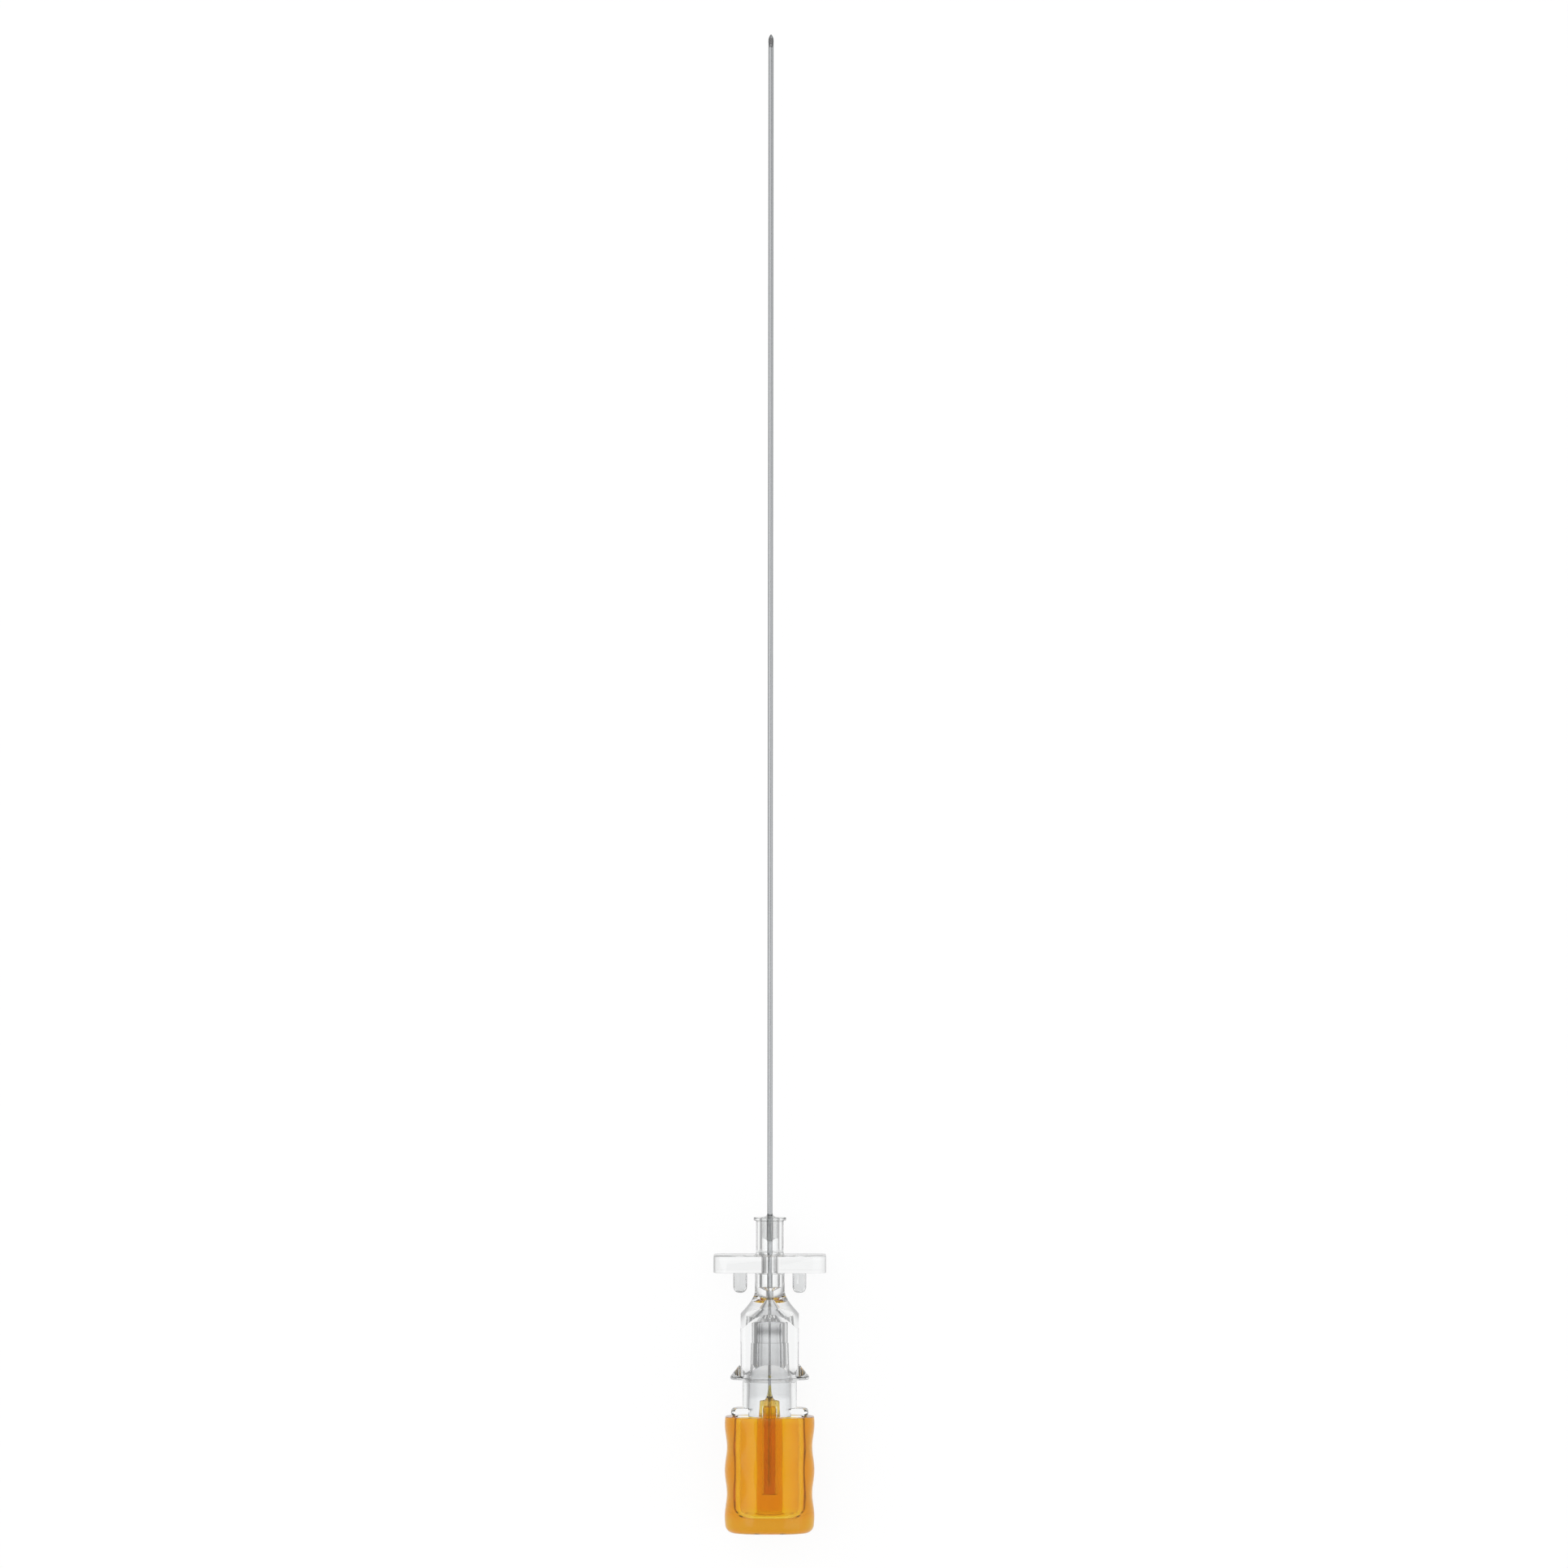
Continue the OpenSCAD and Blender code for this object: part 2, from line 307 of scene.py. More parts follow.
def smoothed(piece: bpy.types.Object, angle: float) -> bpy.types.Object:
    """Shades a piece smooth, apart from edges sharper than an angle.

    Args:
        piece: The object.
        angle: The angle in degrees.

    Returns:
        The same object.
    """
    piece.data.shade_smooth()
    piece.data.set_sharp_from_angle(angle=math.radians(angle))
    return piece


class Effects:
    """Shader node groups that more than one finish uses, each built once."""

    @staticmethod
    def _group(name: str, inputs: dict[str, float], outputs: Sequence[str]) -> bpy.types.NodeTree:
        """Starts a node group with float sockets.

        Args:
            name: Name of the group.
            inputs: Default of each input, by name.
            outputs: Names of the outputs.

        Returns:
            The empty group.
        """
        tree = bpy.data.node_groups.new(name, "ShaderNodeTree")
        for label, value in inputs.items():
            socket = tree.interface.new_socket(label, in_out="INPUT", socket_type="NodeSocketFloat")
            socket.default_value = value
        for label in outputs:
            tree.interface.new_socket(label, in_out="OUTPUT", socket_type="NodeSocketFloat")
        return tree

    @classmethod
    def streaks(cls) -> bpy.types.NodeTree:
        """Fine lines along the needle's axis, as drawing through a die leaves them.

        Returns:
            A group that puts out a mask of the lines and a height.
        """
        name = "drawn_streaks"
        if name in bpy.data.node_groups:
            return bpy.data.node_groups[name]
        tree = cls._group(name, {"Fineness": 9000.0, "Stretch": 0.01}, ["Lines", "Height"])
        nodes = tree.nodes
        links = tree.links
        given = nodes.new("NodeGroupInput")
        put_out = nodes.new("NodeGroupOutput")
        place = nodes.new("ShaderNodeTexCoord")
        parts = nodes.new("ShaderNodeSeparateXYZ")
        shrink = nodes.new("ShaderNodeMath")
        shrink.operation = "MULTIPLY"
        joined = nodes.new("ShaderNodeCombineXYZ")
        lines = nodes.new("ShaderNodeTexNoise")
        lines.inputs["Detail"].default_value = 4.0
        blotch = nodes.new("ShaderNodeTexNoise")
        blotch.inputs["Scale"].default_value = 260.0
        blotch.inputs["Detail"].default_value = 2.0
        mixed = nodes.new("ShaderNodeMix")
        mixed.inputs["Factor"].default_value = 0.35
        links.new(place.outputs["Object"], parts.inputs["Vector"])
        links.new(place.outputs["Object"], blotch.inputs["Vector"])
        links.new(parts.outputs["X"], joined.inputs["X"])
        links.new(parts.outputs["Y"], shrink.inputs[0])
        links.new(given.outputs["Stretch"], shrink.inputs[1])
        links.new(shrink.outputs["Value"], joined.inputs["Y"])
        links.new(parts.outputs["Z"], joined.inputs["Z"])
        links.new(joined.outputs["Vector"], lines.inputs["Vector"])
        links.new(given.outputs["Fineness"], lines.inputs["Scale"])
        links.new(lines.outputs["Fac"], mixed.inputs["A"])
        links.new(blotch.outputs["Fac"], mixed.inputs["B"])
        links.new(mixed.outputs["Result"], put_out.inputs["Lines"])
        links.new(lines.outputs["Fac"], put_out.inputs["Height"])
        return tree

    @classmethod
    def moulding(cls) -> bpy.types.NodeTree:
        """The slow waves and fine ripple of a moulded surface.

        Returns:
            A group that puts out a mask of the flow and a height.
        """
        name = "moulding_flow"
        if name in bpy.data.node_groups:
            return bpy.data.node_groups[name]
        tree = cls._group(name, {"Wave": 240.0, "Ripple": 2600.0}, ["Flow", "Height"])
        nodes = tree.nodes
        links = tree.links
        given = nodes.new("NodeGroupInput")
        put_out = nodes.new("NodeGroupOutput")
        place = nodes.new("ShaderNodeTexCoord")
        wave = nodes.new("ShaderNodeTexNoise")
        wave.inputs["Detail"].default_value = 2.0
        wave.inputs["Distortion"].default_value = 0.6
        ripple = nodes.new("ShaderNodeTexNoise")
        ripple.inputs["Detail"].default_value = 3.0
        mixed = nodes.new("ShaderNodeMix")
        mixed.inputs["Factor"].default_value = 0.2
        links.new(place.outputs["Object"], wave.inputs["Vector"])
        links.new(place.outputs["Object"], ripple.inputs["Vector"])
        links.new(given.outputs["Wave"], wave.inputs["Scale"])
        links.new(given.outputs["Ripple"], ripple.inputs["Scale"])
        links.new(wave.outputs["Fac"], mixed.inputs["A"])
        links.new(ripple.outputs["Fac"], mixed.inputs["B"])
        links.new(wave.outputs["Fac"], put_out.inputs["Flow"])
        links.new(mixed.outputs["Result"], put_out.inputs["Height"])
        return tree

    @staticmethod
    def shade(material: bpy.types.Material, stops: Sequence[tuple[float, Colour]],
              sideways: bool = False) -> bpy.types.NodeSocket:
        """Adds a painted shade, a colour that stands in for light and shade, that changes along the needle's axis,
        or from its middle to its sides.

        Args:
            material: The material.
            stops: Place in millimetres and colour of each stop, from the handle to the point or from the middle.
            sideways: Whether the shade changes towards the sides.

        Returns:
            The socket that puts out the colour.
        """
        nodes = material.node_tree.nodes
        links = material.node_tree.links
        place = nodes.new("ShaderNodeTexCoord")
        parts = nodes.new("ShaderNodeSeparateXYZ")
        span = nodes.new("ShaderNodeMapRange")
        first, last = stops[0][0], stops[-1][0]
        span.inputs["From Min"].default_value = first * MM
        span.inputs["From Max"].default_value = last * MM
        ramp = nodes.new("ShaderNodeValToRGB")
        ramp.color_ramp.interpolation = "EASE"
        points = ramp.color_ramp.elements
        for _ in stops[2:]:
            points.new(0.5)
        for point, (at, colour) in zip(points, stops):
            point.position = (at - first) / (last - first)
            point.color = (*colour, 1.0)
        links.new(place.outputs["Object"], parts.inputs["Vector"])
        reach = parts.outputs["Y"]
        if sideways:
            apart = nodes.new("ShaderNodeMath")
            apart.operation = "ABSOLUTE"
            links.new(parts.outputs["X"], apart.inputs[0])
            reach = apart.outputs["Value"]
        links.new(reach, span.inputs["Value"])
        links.new(span.outputs["Result"], ramp.inputs["Fac"])
        return ramp.outputs["Color"]


@dataclass(frozen=True)
class Finish:
    """What every finish has: a surface whose colour, roughness and relief follow an effect.

    Args:
        name: Name of the material.
        dark: Colour where the effect's mask is low.
        light: Colour where it is high.
        smooth: Roughness where the mask is low.
        rough: Roughness where it is high.
        relief: Depth of the relief, in metres.
        painted_shading_along: Place in millimetres and painted shade of each stop along the needle, a colour that
            stands in for light and shade, if any.
        painted_shading_across: Distance from the middle in millimetres and painted shade of each stop towards the
            sides, if any.
    """

    name: str
    dark: Colour
    light: Colour
    smooth: float
    rough: float
    relief: float
    painted_shading_along: tuple[tuple[float, Colour], ...] = ()
    painted_shading_across: tuple[tuple[float, Colour], ...] = ()

    def surface(self) -> tuple[bpy.types.Material, bpy.types.Node]:
        """Starts the material.

        Returns:
            The material and its Principled shader.
        """
        material = bpy.data.materials.new(self.name)
        material.use_nodes = True
        return material, material.node_tree.nodes["Principled BSDF"]

    def follow(self, material: bpy.types.Material, effect: bpy.types.Node, mask: str) -> None:
        """Ties colour, roughness and relief to an effect's outputs, and multiplies the colour by the painted shade
        along and across the needle.

        Args:
            material: The material.
            effect: The group node in it.
            mask: Name of the output that drives colour and roughness.
        """
        nodes = material.node_tree.nodes
        links = material.node_tree.links
        shader = nodes["Principled BSDF"]
        colour = nodes.new("ShaderNodeMix")
        colour.data_type = "RGBA"
        colour.inputs["A"].default_value = (*self.dark, 1.0)
        colour.inputs["B"].default_value = (*self.light, 1.0)
        spread = nodes.new("ShaderNodeMapRange")
        spread.inputs["From Min"].default_value = 0.3
        spread.inputs["From Max"].default_value = 0.7
        spread.inputs["To Min"].default_value = self.smooth
        spread.inputs["To Max"].default_value = self.rough
        bump = nodes.new("ShaderNodeBump")
        bump.inputs["Distance"].default_value = self.relief
        links.new(effect.outputs[mask], colour.inputs["Factor"])
        links.new(effect.outputs[mask], spread.inputs["Value"])
        links.new(effect.outputs["Height"], bump.inputs["Height"])
        painted = colour.outputs["Result"]
        # Painted shade: the colour is multiplied by ramps along the needle and towards its sides, which stand in for
        # light and shade.
        for stops, sideways in ((self.painted_shading_along, False), (self.painted_shading_across, True)):
            if stops:
                shaded = nodes.new("ShaderNodeMix")
                shaded.data_type = "RGBA"
                shaded.blend_type = "MULTIPLY"
                shaded.inputs["Factor"].default_value = 1.0
                links.new(painted, shaded.inputs["A"])
                links.new(Effects.shade(material, stops, sideways), shaded.inputs["B"])
                painted = shaded.outputs["Result"]
        links.new(painted, shader.inputs["Base Color"])
        links.new(spread.outputs["Result"], shader.inputs["Roughness"])
        links.new(bump.outputs["Normal"], shader.inputs["Normal"])


@dataclass(frozen=True)
class DrawnSteel(Finish):
    """Stainless steel drawn through a die, with fine lines along it."""

    fineness: float = 9000.0
    stretch: float = 0.01

    def material(self) -> bpy.types.Material:
        """Makes the material."""
        material, shader = self.surface()
        shader.inputs["Metallic"].default_value = 1.0
        effect = material.node_tree.nodes.new("ShaderNodeGroup")
        effect.node_tree = Effects.streaks()
        effect.inputs["Fineness"].default_value = self.fineness
        effect.inputs["Stretch"].default_value = self.stretch
        self.follow(material, effect, "Lines")
        return material


@dataclass(frozen=True)
class ClearPlastic(Finish):
    """A moulded plastic that light passes through, tinted or not."""

    index: float = 1.42
    clearness: float = 1.0
    wave: float = 240.0
    ripple: float = 2600.0

    def material(self) -> bpy.types.Material:
        """Makes the material."""
        material, shader = self.surface()
        shader.inputs["IOR"].default_value = self.index
        shader.inputs["Transmission Weight"].default_value = self.clearness
        effect = material.node_tree.nodes.new("ShaderNodeGroup")
        effect.node_tree = Effects.moulding()
        effect.inputs["Wave"].default_value = self.wave
        effect.inputs["Ripple"].default_value = self.ripple
        self.follow(material, effect, "Flow")
        return material


@dataclass(frozen=True)
class DyedPlastic(ClearPlastic):
    """A see-through plastic whose dye deepens with its thickness.

    Args:
        dye: Colour that the dye lets through.
        strength: Strength of the dye, per metre.
    """

    dye: Colour = (0.96, 0.82, 0.13)
    strength: float = 600.0

    def material(self) -> bpy.types.Material:
        """Makes the material."""
        material = super().material()
        nodes = material.node_tree.nodes
        inner = nodes.new("ShaderNodeVolumeAbsorption")
        inner.inputs["Color"].default_value = (*self.dye, 1.0)
        inner.inputs["Density"].default_value = self.strength
        material.node_tree.links.new(inner.outputs["Volume"], nodes["Material Output"].inputs["Volume"])
        return material


def grey(value: float) -> Colour:
    """Gives a neutral grey."""
    return (value, value, value)


# Painted shade: the tube is coloured darker from the hub towards the point, standing in for the uneven reflected
# light along it.
TUBE_STEEL = DrawnSteel(
    "tube_steel", (0.38, 0.39, 0.40), (0.50, 0.51, 0.52), 0.22, 0.34, 2e-6,
    painted_shading_along=((-10.0, grey(1.0)), (5.0, grey(1.0)), (25.0, grey(0.94)), (50.0, grey(0.88)),
           (120.0, grey(0.78))))
# Painted shade: the wire is coloured half as bright from inside the hub on, standing in for the shade in the hub's
# bore.
WIRE_STEEL = DrawnSteel(
    "wire_steel", (0.86, 0.87, 0.88), (0.98, 0.98, 0.98), 0.20, 0.30, 2e-6,
    painted_shading_along=((-27.3, grey(1.0)), (-19.2, grey(1.0)), (-18.0, grey(0.5)), (120.0, grey(0.5))))
GROUND_STEEL = DrawnSteel("ground_steel", (0.52, 0.57, 0.63), (0.72, 0.76, 0.82), 0.10, 0.20, 1e-6)
# Painted shade: the clear moulding is coloured darker in a band at the collar's slope and in a fainter band across
# the grip plate, standing in for light that the moulding bends away.
HUB_PLASTIC = ClearPlastic(
    "hub_plastic", (0.965, 0.972, 0.972), (0.985, 0.99, 0.99), 0.0, 0.03, 2e-6,
    painted_shading_along=((-16.6, grey(1.0)), (-16.2, grey(0.77)), (-15.7, grey(0.77)), (-15.1, grey(0.98)),
           (-5.4, grey(1.0)), (-5.1, grey(0.94)), (-4.4, grey(0.94)), (-4.0, grey(1.0))))
# Painted shade: the ribs are the same clear moulding, given a greyer copy of its colour that stands in for the shade
# of their rounded ends.
RIB_PAINTED_SHADE = ClearPlastic("rib_painted_shade", (0.71, 0.72, 0.72), (0.75, 0.755, 0.76), 0.10, 0.20, 4e-6)
# Painted shade: the bore's walls are the same clear moulding, given a greyer copy of its colour with darker bands
# along the needle, standing in for the shade inside the bore.
BORE_PAINTED_SHADE = ClearPlastic(
    "bore_painted_shade", (0.82, 0.83, 0.84), (0.90, 0.91, 0.92), 0.02, 0.08, 2e-6,
    painted_shading_along=((-20.15, grey(1.0)), (-18.5, grey(1.0)), (-17.9, grey(0.84)), (-15.4, grey(0.88)),
           (-14.8, grey(0.68)), (-14.1, grey(0.74)), (-13.5, grey(0.74)), (-12.8, grey(0.8)),
           (-12.2, grey(0.82)), (-11.5, grey(0.42)), (-10.8, grey(0.76)), (-8.6, grey(1.0))))
# Painted shade: the clear glue is coloured darker from 1.9 to 0.8 mm behind the nose, standing in for the shade seen
# through it.
HUB_GLUE = ClearPlastic(
    "hub_glue", (0.88, 0.89, 0.89), (0.95, 0.95, 0.94), 0.02, 0.10, 8e-6, index=1.34,
    painted_shading_along=((-2.5, grey(1.0)), (-1.9, grey(0.76)), (-0.8, grey(0.76)), (0.4, grey(1.0))))
# Painted light and shade: the one amber plastic is coloured paler yellow at the closed end and round the key and
# plug, deeper orange along the cup, and darker orange towards its sides, standing in for how light passes through
# it.
AMBER = DyedPlastic(
    "amber_plastic", (0.97, 0.96, 0.94), (1.0, 1.0, 1.0), 0.06, 0.16, 4e-6, index=1.34, clearness=0.94,
    dye=(0.94, 0.762, 0.28), strength=650.0,
    painted_shading_along=((-32.1, (0.98, 1.0, 0.28)), (-30.8, (0.98, 1.0, 0.28)), (-29.6, (0.98, 0.745, 0.10)),
           (-20.9, (0.98, 0.745, 0.10)), (-20.2, (1.0, 0.87, 0.15)), (-18.0, (1.0, 0.87, 0.15))),
    painted_shading_across=((0.0, grey(1.0)), (2.2, grey(1.0)), (2.9, (0.99, 0.96, 0.75)), (3.2, (0.98, 0.86, 0.50)),
            (3.7, (0.97, 0.86, 0.50)), (4.2, (0.98, 0.95, 0.6))))
# Painted shade: the glue is coloured dark red down the post and pale in the plug, standing in for the shade deep
# inside the amber handle.
AMBER_GLUE = ClearPlastic(
    "amber_glue", (0.95, 0.86, 0.42), (1.0, 0.92, 0.50), 0.05, 0.15, 6e-6, index=1.40,
    painted_shading_along=((-28.2, (0.77, 0.23, 0.10)), (-24.8, (0.76, 0.23, 0.09)), (-22.7, (0.86, 0.31, 0.10)),
           (-21.0, (0.87, 0.33, 0.12)), (-20.2, (1.0, 0.9, 0.8)), (-17.0, (1.0, 1.0, 1.0))))


@dataclass
class Piece:
    """A finished piece of the needle.

    Args:
        name: Name of the object.
        node: The CAD node that it stands for.
        body: The body that it rides on.
        slot: Name of the record's material slot for the piece; not used.
    """

    name: str
    node: str
    body: Body
    slot: str

    def settle(self, made: bpy.types.Object, materials: Sequence[bpy.types.Material]) -> None:
        """Dresses the made object, seats it on its body and reports it.

        Args:
            made: The object.
            materials: Its materials, in slot order.
        """
        made.data.materials.clear()
        for material in materials:
            made.data.materials.append(material)
        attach(made, self.body.value)
        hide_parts(self.node)
        LOG.info("%s: %d faces on %s", self.name, len(made.data.polygons), self.body.value)


@dataclass
class Point_:
    """The grinds of the lancet point: one main plane and two side planes through the same tip.

    Args:
        reach: Distance of the tip from the nose of the hub, in millimetres.
        radius: Outer radius of the cannula, in millimetres.
        angle: Angle of the main grind to the axis, in degrees.
        turn: Turn of each side grind about the axis, in degrees.
        share: Share of the bevel that the side grinds take.
    """

    reach: float
    radius: float
    angle: float = 20.0
    turn: float = 35.0
    share: float = 0.3

    @property
    def tip(self) -> Vector:
        """The point of the needle, on its far wall."""
        return Vector((0.0, self.reach, -self.radius)) * MM

    @property
    def side_angle(self) -> float:
        """Angle of the side grinds to the axis, in degrees."""
        reach = math.acos(1 - 2 * self.share)
        turn = math.radians(self.turn)
        slope = math.tan(math.radians(self.angle)) * (math.cos(turn) + math.sin(turn) / math.tan(reach / 2))
        return math.degrees(math.atan(slope))

    def normal(self, angle: float, turn: float) -> Vector:
        """Gives the outward normal of a ground face.

        Args:
            angle: Angle of the face to the axis, in degrees.
            turn: Its turn about the axis, in degrees.

        Returns:
            The unit normal.
        """
        tilt = math.radians(angle)
        upright = Vector((0.0, math.sin(tilt), math.cos(tilt)))
        return Matrix.Rotation(math.radians(turn), 3, Axis.ALONG.value) @ upright

    def grind(self, bm: bmesh.types.BMesh, angle: float, turn: float) -> list:
        """Cuts a mesh along one ground face.

        Args:
            bm: The mesh.
            angle: Angle of the face to the axis, in degrees.
            turn: Its turn about the axis, in degrees.

        Returns:
            The edges of the cut.
        """
        result = bmesh.ops.bisect_plane(
            bm,
            geom=bm.verts[:] + bm.edges[:] + bm.faces[:],
            dist=1e-9,
            plane_co=self.tip,
            plane_no=self.normal(angle, turn),
            clear_outer=True,
        )
        return [e for e in result["geom_cut"] if isinstance(e, bmesh.types.BMEdge)]

    def close(self, bm: bmesh.types.BMesh, edges: list, bridge: bool) -> None:
        """Closes a cut with its ground face.

        Args:
            bm: The mesh.
            edges: The edges of the cut.
            bridge: Whether the cut has an inner and an outer loop.
        """
        if bridge:
            made = bmesh.ops.bridge_loops(bm, edges=edges)["faces"]
        else:
            made = bmesh.ops.contextual_create(bm, geom=edges)["faces"]
        for face in made:
            face.material_index = 1
            face.smooth = False

    def sharpen(self, bm: bmesh.types.BMesh, hollow: bool) -> None:
        """Grinds a tube or a wire to the point.

        Args:
            bm: The mesh.
            hollow: Whether it is a tube, whose wall the side grinds reach too.
        """
        self.close(bm, self.grind(bm, self.angle, 0.0), bridge=hollow)
        if hollow:
            for side in (-1, 1):
                self.close(bm, self.grind(bm, self.side_angle, side * self.turn), bridge=False)


@dataclass
class Cannula:
    """The steel tube with its lancet point."""

    wall: float = 0.105
    segments: int = 64
    piece: Piece = field(default_factory=lambda: Piece("cannula_tube", "cannula", Body.NEEDLE, "cannula_steel"))

    def __post_init__(self) -> None:
        """Takes the tube's ends and radius from the frame."""
        low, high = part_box("cannula")
        self.radius = (high.z - low.z) / 2 / MM
        self.root = low.y / MM
        self.point = Point_(high.y / MM, self.radius)

    def build(self) -> None:
        """Makes the tube, grinds its point and dresses it."""
        spare = 1.0
        bore = self.radius - self.wall
        outline = [
            (bore, self.root),
            (self.radius, self.root),
            (self.radius, self.point.reach + spare),
            (bore, self.point.reach + spare),
        ]
        bm = turned(outline, self.segments, closed=True)
        self.point.sharpen(bm, hollow=True)
        made = smoothed(new_object(self.piece.name, bm), 25.0)
        self.piece.settle(made, [TUBE_STEEL.material(), GROUND_STEEL.material()])


@dataclass
class StyletWire:
    """The solid wire that fills the tube."""

    point: Point_
    segments: int = 48
    piece: Piece = field(default_factory=lambda: Piece("wire", "stylet_wire", Body.STYLET, "stylet_steel"))

    def build(self) -> None:
        """Makes the wire, grinds it with the tube and dresses it."""
        low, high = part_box("stylet_wire")
        radius = (high.x - low.x) / 2 / MM
        root = low.y / MM
        spare = 1.0
        outline = rounded_outline([
            Corner(0.0, root),
            Corner(radius, root, radius / 4),
            Corner(radius, self.point.reach + spare),
            Corner(0.0, self.point.reach + spare),
        ])
        bm = turned(outline, self.segments)
        self.point.sharpen(bm, hollow=False)
        made = smoothed(new_object(self.piece.name, bm), 25.0)
        self.piece.settle(made, [WIRE_STEEL.material(), bpy.data.materials["ground_steel"]])


@dataclass
class Hub:
    """The clear moulding: nose, grip plate, shoulder, collar, barrel and lugs, round one stepped bore.

    Lengths are in millimetres, and depths are counted back from the nose.
    """

    nose_length: float = 3.8
    nose_radius: float = 1.4
    bead_radius: float = 1.65
    bead_thickness: float = 0.3
    cove: float = 0.35
    well_radius: float = 0.85
    well_depth: float = 7.1
    well_cone: float = 0.35
    seat_radius: float = 0.285
    plate_thickness: float = 1.7
    plate_corner: float = 1.4
    plate_edge: float = 0.09
    rib_width: float = 1.4
    rib_reach: float = 2.1
    rib_depth: float = 4.4
    rib_offset: float = 3.0
    rib_corner: float = 0.6
    rib_heel: float = 1.0
    neck_radius: float = 1.5
    neck_length: float = 1.9
    shoulder_length: float = 4.3
    body_half: float = 2.95
    body_corner: float = 0.5
    body_length: float = 3.1
    collar_slope: float = 1.3
    collar_rim: float = 0.3
    barrel_radius: float = 2.75
    socket_radius: float = 2.15
    socket_taper: float = 0.06
    socket_depth: float = 7.5
    chamber_step: float = 0.08
    chamber_length: float = 2.1
    funnel_length: float = 0.85
    throat_radius: float = 0.75
    lug_width: float = 3.4
    lug_thickness: float = 0.85
    lug_radius: float = 3.915
    lug_edge: float = 0.3
    key_width: float = 1.2
    key_depth: float = 1.1
    key_gap: float = 0.08
    weld: float = 0.02
    segments: int = 96
    piece: Piece = field(default_factory=lambda: Piece("hub_moulding", "hub", Body.NEEDLE, "clear_hub"))

    def __post_init__(self) -> None:
        """Takes the hub's outer sizes from the frame and works out its depths."""
        low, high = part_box("hub")
        self.plate_half_width = high.x / MM
        self.plate_half_depth = high.z / MM
        self.collar_radius = self.plate_half_depth
        self.mouth = -low.y / MM
        self.cannula_root = -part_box("cannula")[0].y / MM
        self.plate_back = self.nose_length + self.plate_thickness
        self.neck_end = self.plate_back + self.neck_length
        self.shoulder_end = self.neck_end + self.shoulder_length
        self.body_end = self.shoulder_end + self.body_length
        body_reach = (self.body_half - self.body_corner) * math.sqrt(2) + self.body_corner
        self.swell_radius = body_reach + self.body_corner / 4
        self.slope_end = self.body_end + self.collar_slope
        self.root_radius = self.neck_radius - 0.2
        run = self.collar_slope * (self.body_half - self.root_radius) / (self.collar_radius - self.body_half)
        self.slope_start = self.body_end - run
        self.collar_end = self.slope_end + self.collar_rim
        self.socket_end = self.mouth - self.socket_depth
        self.chamber_end = self.socket_end - self.chamber_length

    def shoulder(self) -> list[Corner]:
        """Gives the S that widens from the neck to the corners of the body."""
        steps = 14
        flare = 0.12
        made = []
        for i in range(1, steps):
            share = i / steps
            swell = flare * share + (1 - flare) * (1 - math.cos(math.pi * share)) / 2
            radius = self.neck_radius + (self.swell_radius - self.neck_radius) * swell
            made.append(Corner(radius, -self.neck_end - self.shoulder_length * share))
        return made

    def outer(self) -> bmesh.types.BMesh:
        """Turns the outside of the hub."""
        root = self.neck_radius + 2 * self.cove
        return turned(rounded_outline([
            Corner(0.0, 0.0),
            Corner(self.bead_radius, 0.0, 0.1),
            Corner(self.bead_radius, -self.bead_thickness, 0.1),
            Corner(self.nose_radius, -self.bead_thickness, 0.15),
            Corner(self.nose_radius, -self.nose_length - self.weld, self.cove),
            Corner(root, -self.nose_length - self.weld),
            Corner(root, -self.plate_back + self.weld),
            Corner(self.neck_radius, -self.plate_back + self.weld, self.cove),
            Corner(self.neck_radius, -self.neck_end - self.weld),
            Corner(self.root_radius, -self.neck_end - 0.3),
            Corner(self.root_radius, -self.slope_start),
            Corner(self.collar_radius, -self.slope_end, 0.3),
            Corner(self.collar_radius, -self.collar_end, 0.12),
            Corner(self.barrel_radius, -self.collar_end, 0.3),
            Corner(self.barrel_radius, -self.mouth, 0.12),
            Corner(0.0, -self.mouth),
        ]), self.segments)

    def body(self) -> bpy.types.Object:
        """Makes the body: a swelling from the neck, trimmed to four flats with round corners."""
        swelling = turned(rounded_outline([
            Corner(0.0, -self.neck_end + 0.2),
            Corner(self.neck_radius - 0.02, -self.neck_end + 0.2),
            Corner(self.neck_radius, -self.neck_end),
            *self.shoulder(),
            Corner(self.swell_radius, -self.shoulder_end),
            Corner(self.swell_radius, -self.slope_end + 0.05),
            Corner(0.0, -self.slope_end + 0.05),
        ]), self.segments)
        low = Vector((-self.body_half, -self.slope_end + 0.1, -self.body_half))
        high = Vector((self.body_half, -self.neck_end + 0.5, self.body_half))
        made = new_object("body", swelling)
        return combined(made, slab(low, high, self.body_corner, Axis.ALONG, 0.02), Join.TRIM)

    def bore(self) -> bmesh.types.BMesh:
        """Turns everything that is open inside the hub."""
        over = 0.5
        end = self.socket_radius - self.socket_taper * self.socket_depth / 2
        chamber = end - self.chamber_step
        throat = self.chamber_end - self.funnel_length
        return turned(rounded_outline([
            Corner(0.0, over),
            Corner(self.well_radius, over),
            Corner(self.well_radius, -self.well_depth, 0.1),
            Corner(self.seat_radius, -self.well_depth - self.well_cone, 0.1),
            Corner(self.seat_radius, -self.cannula_root, 0.2),
            Corner(self.throat_radius, -throat, 0.3),
            Corner(chamber, -self.chamber_end, 0.3),
            Corner(chamber, -self.socket_end, 0.03),
            Corner(end, -self.socket_end, 0.03),
            Corner(self.socket_radius, -self.mouth, 0.0),
            Corner(self.socket_radius, -self.mouth - over),
            Corner(0.0, -self.mouth - over),
        ]), self.segments)

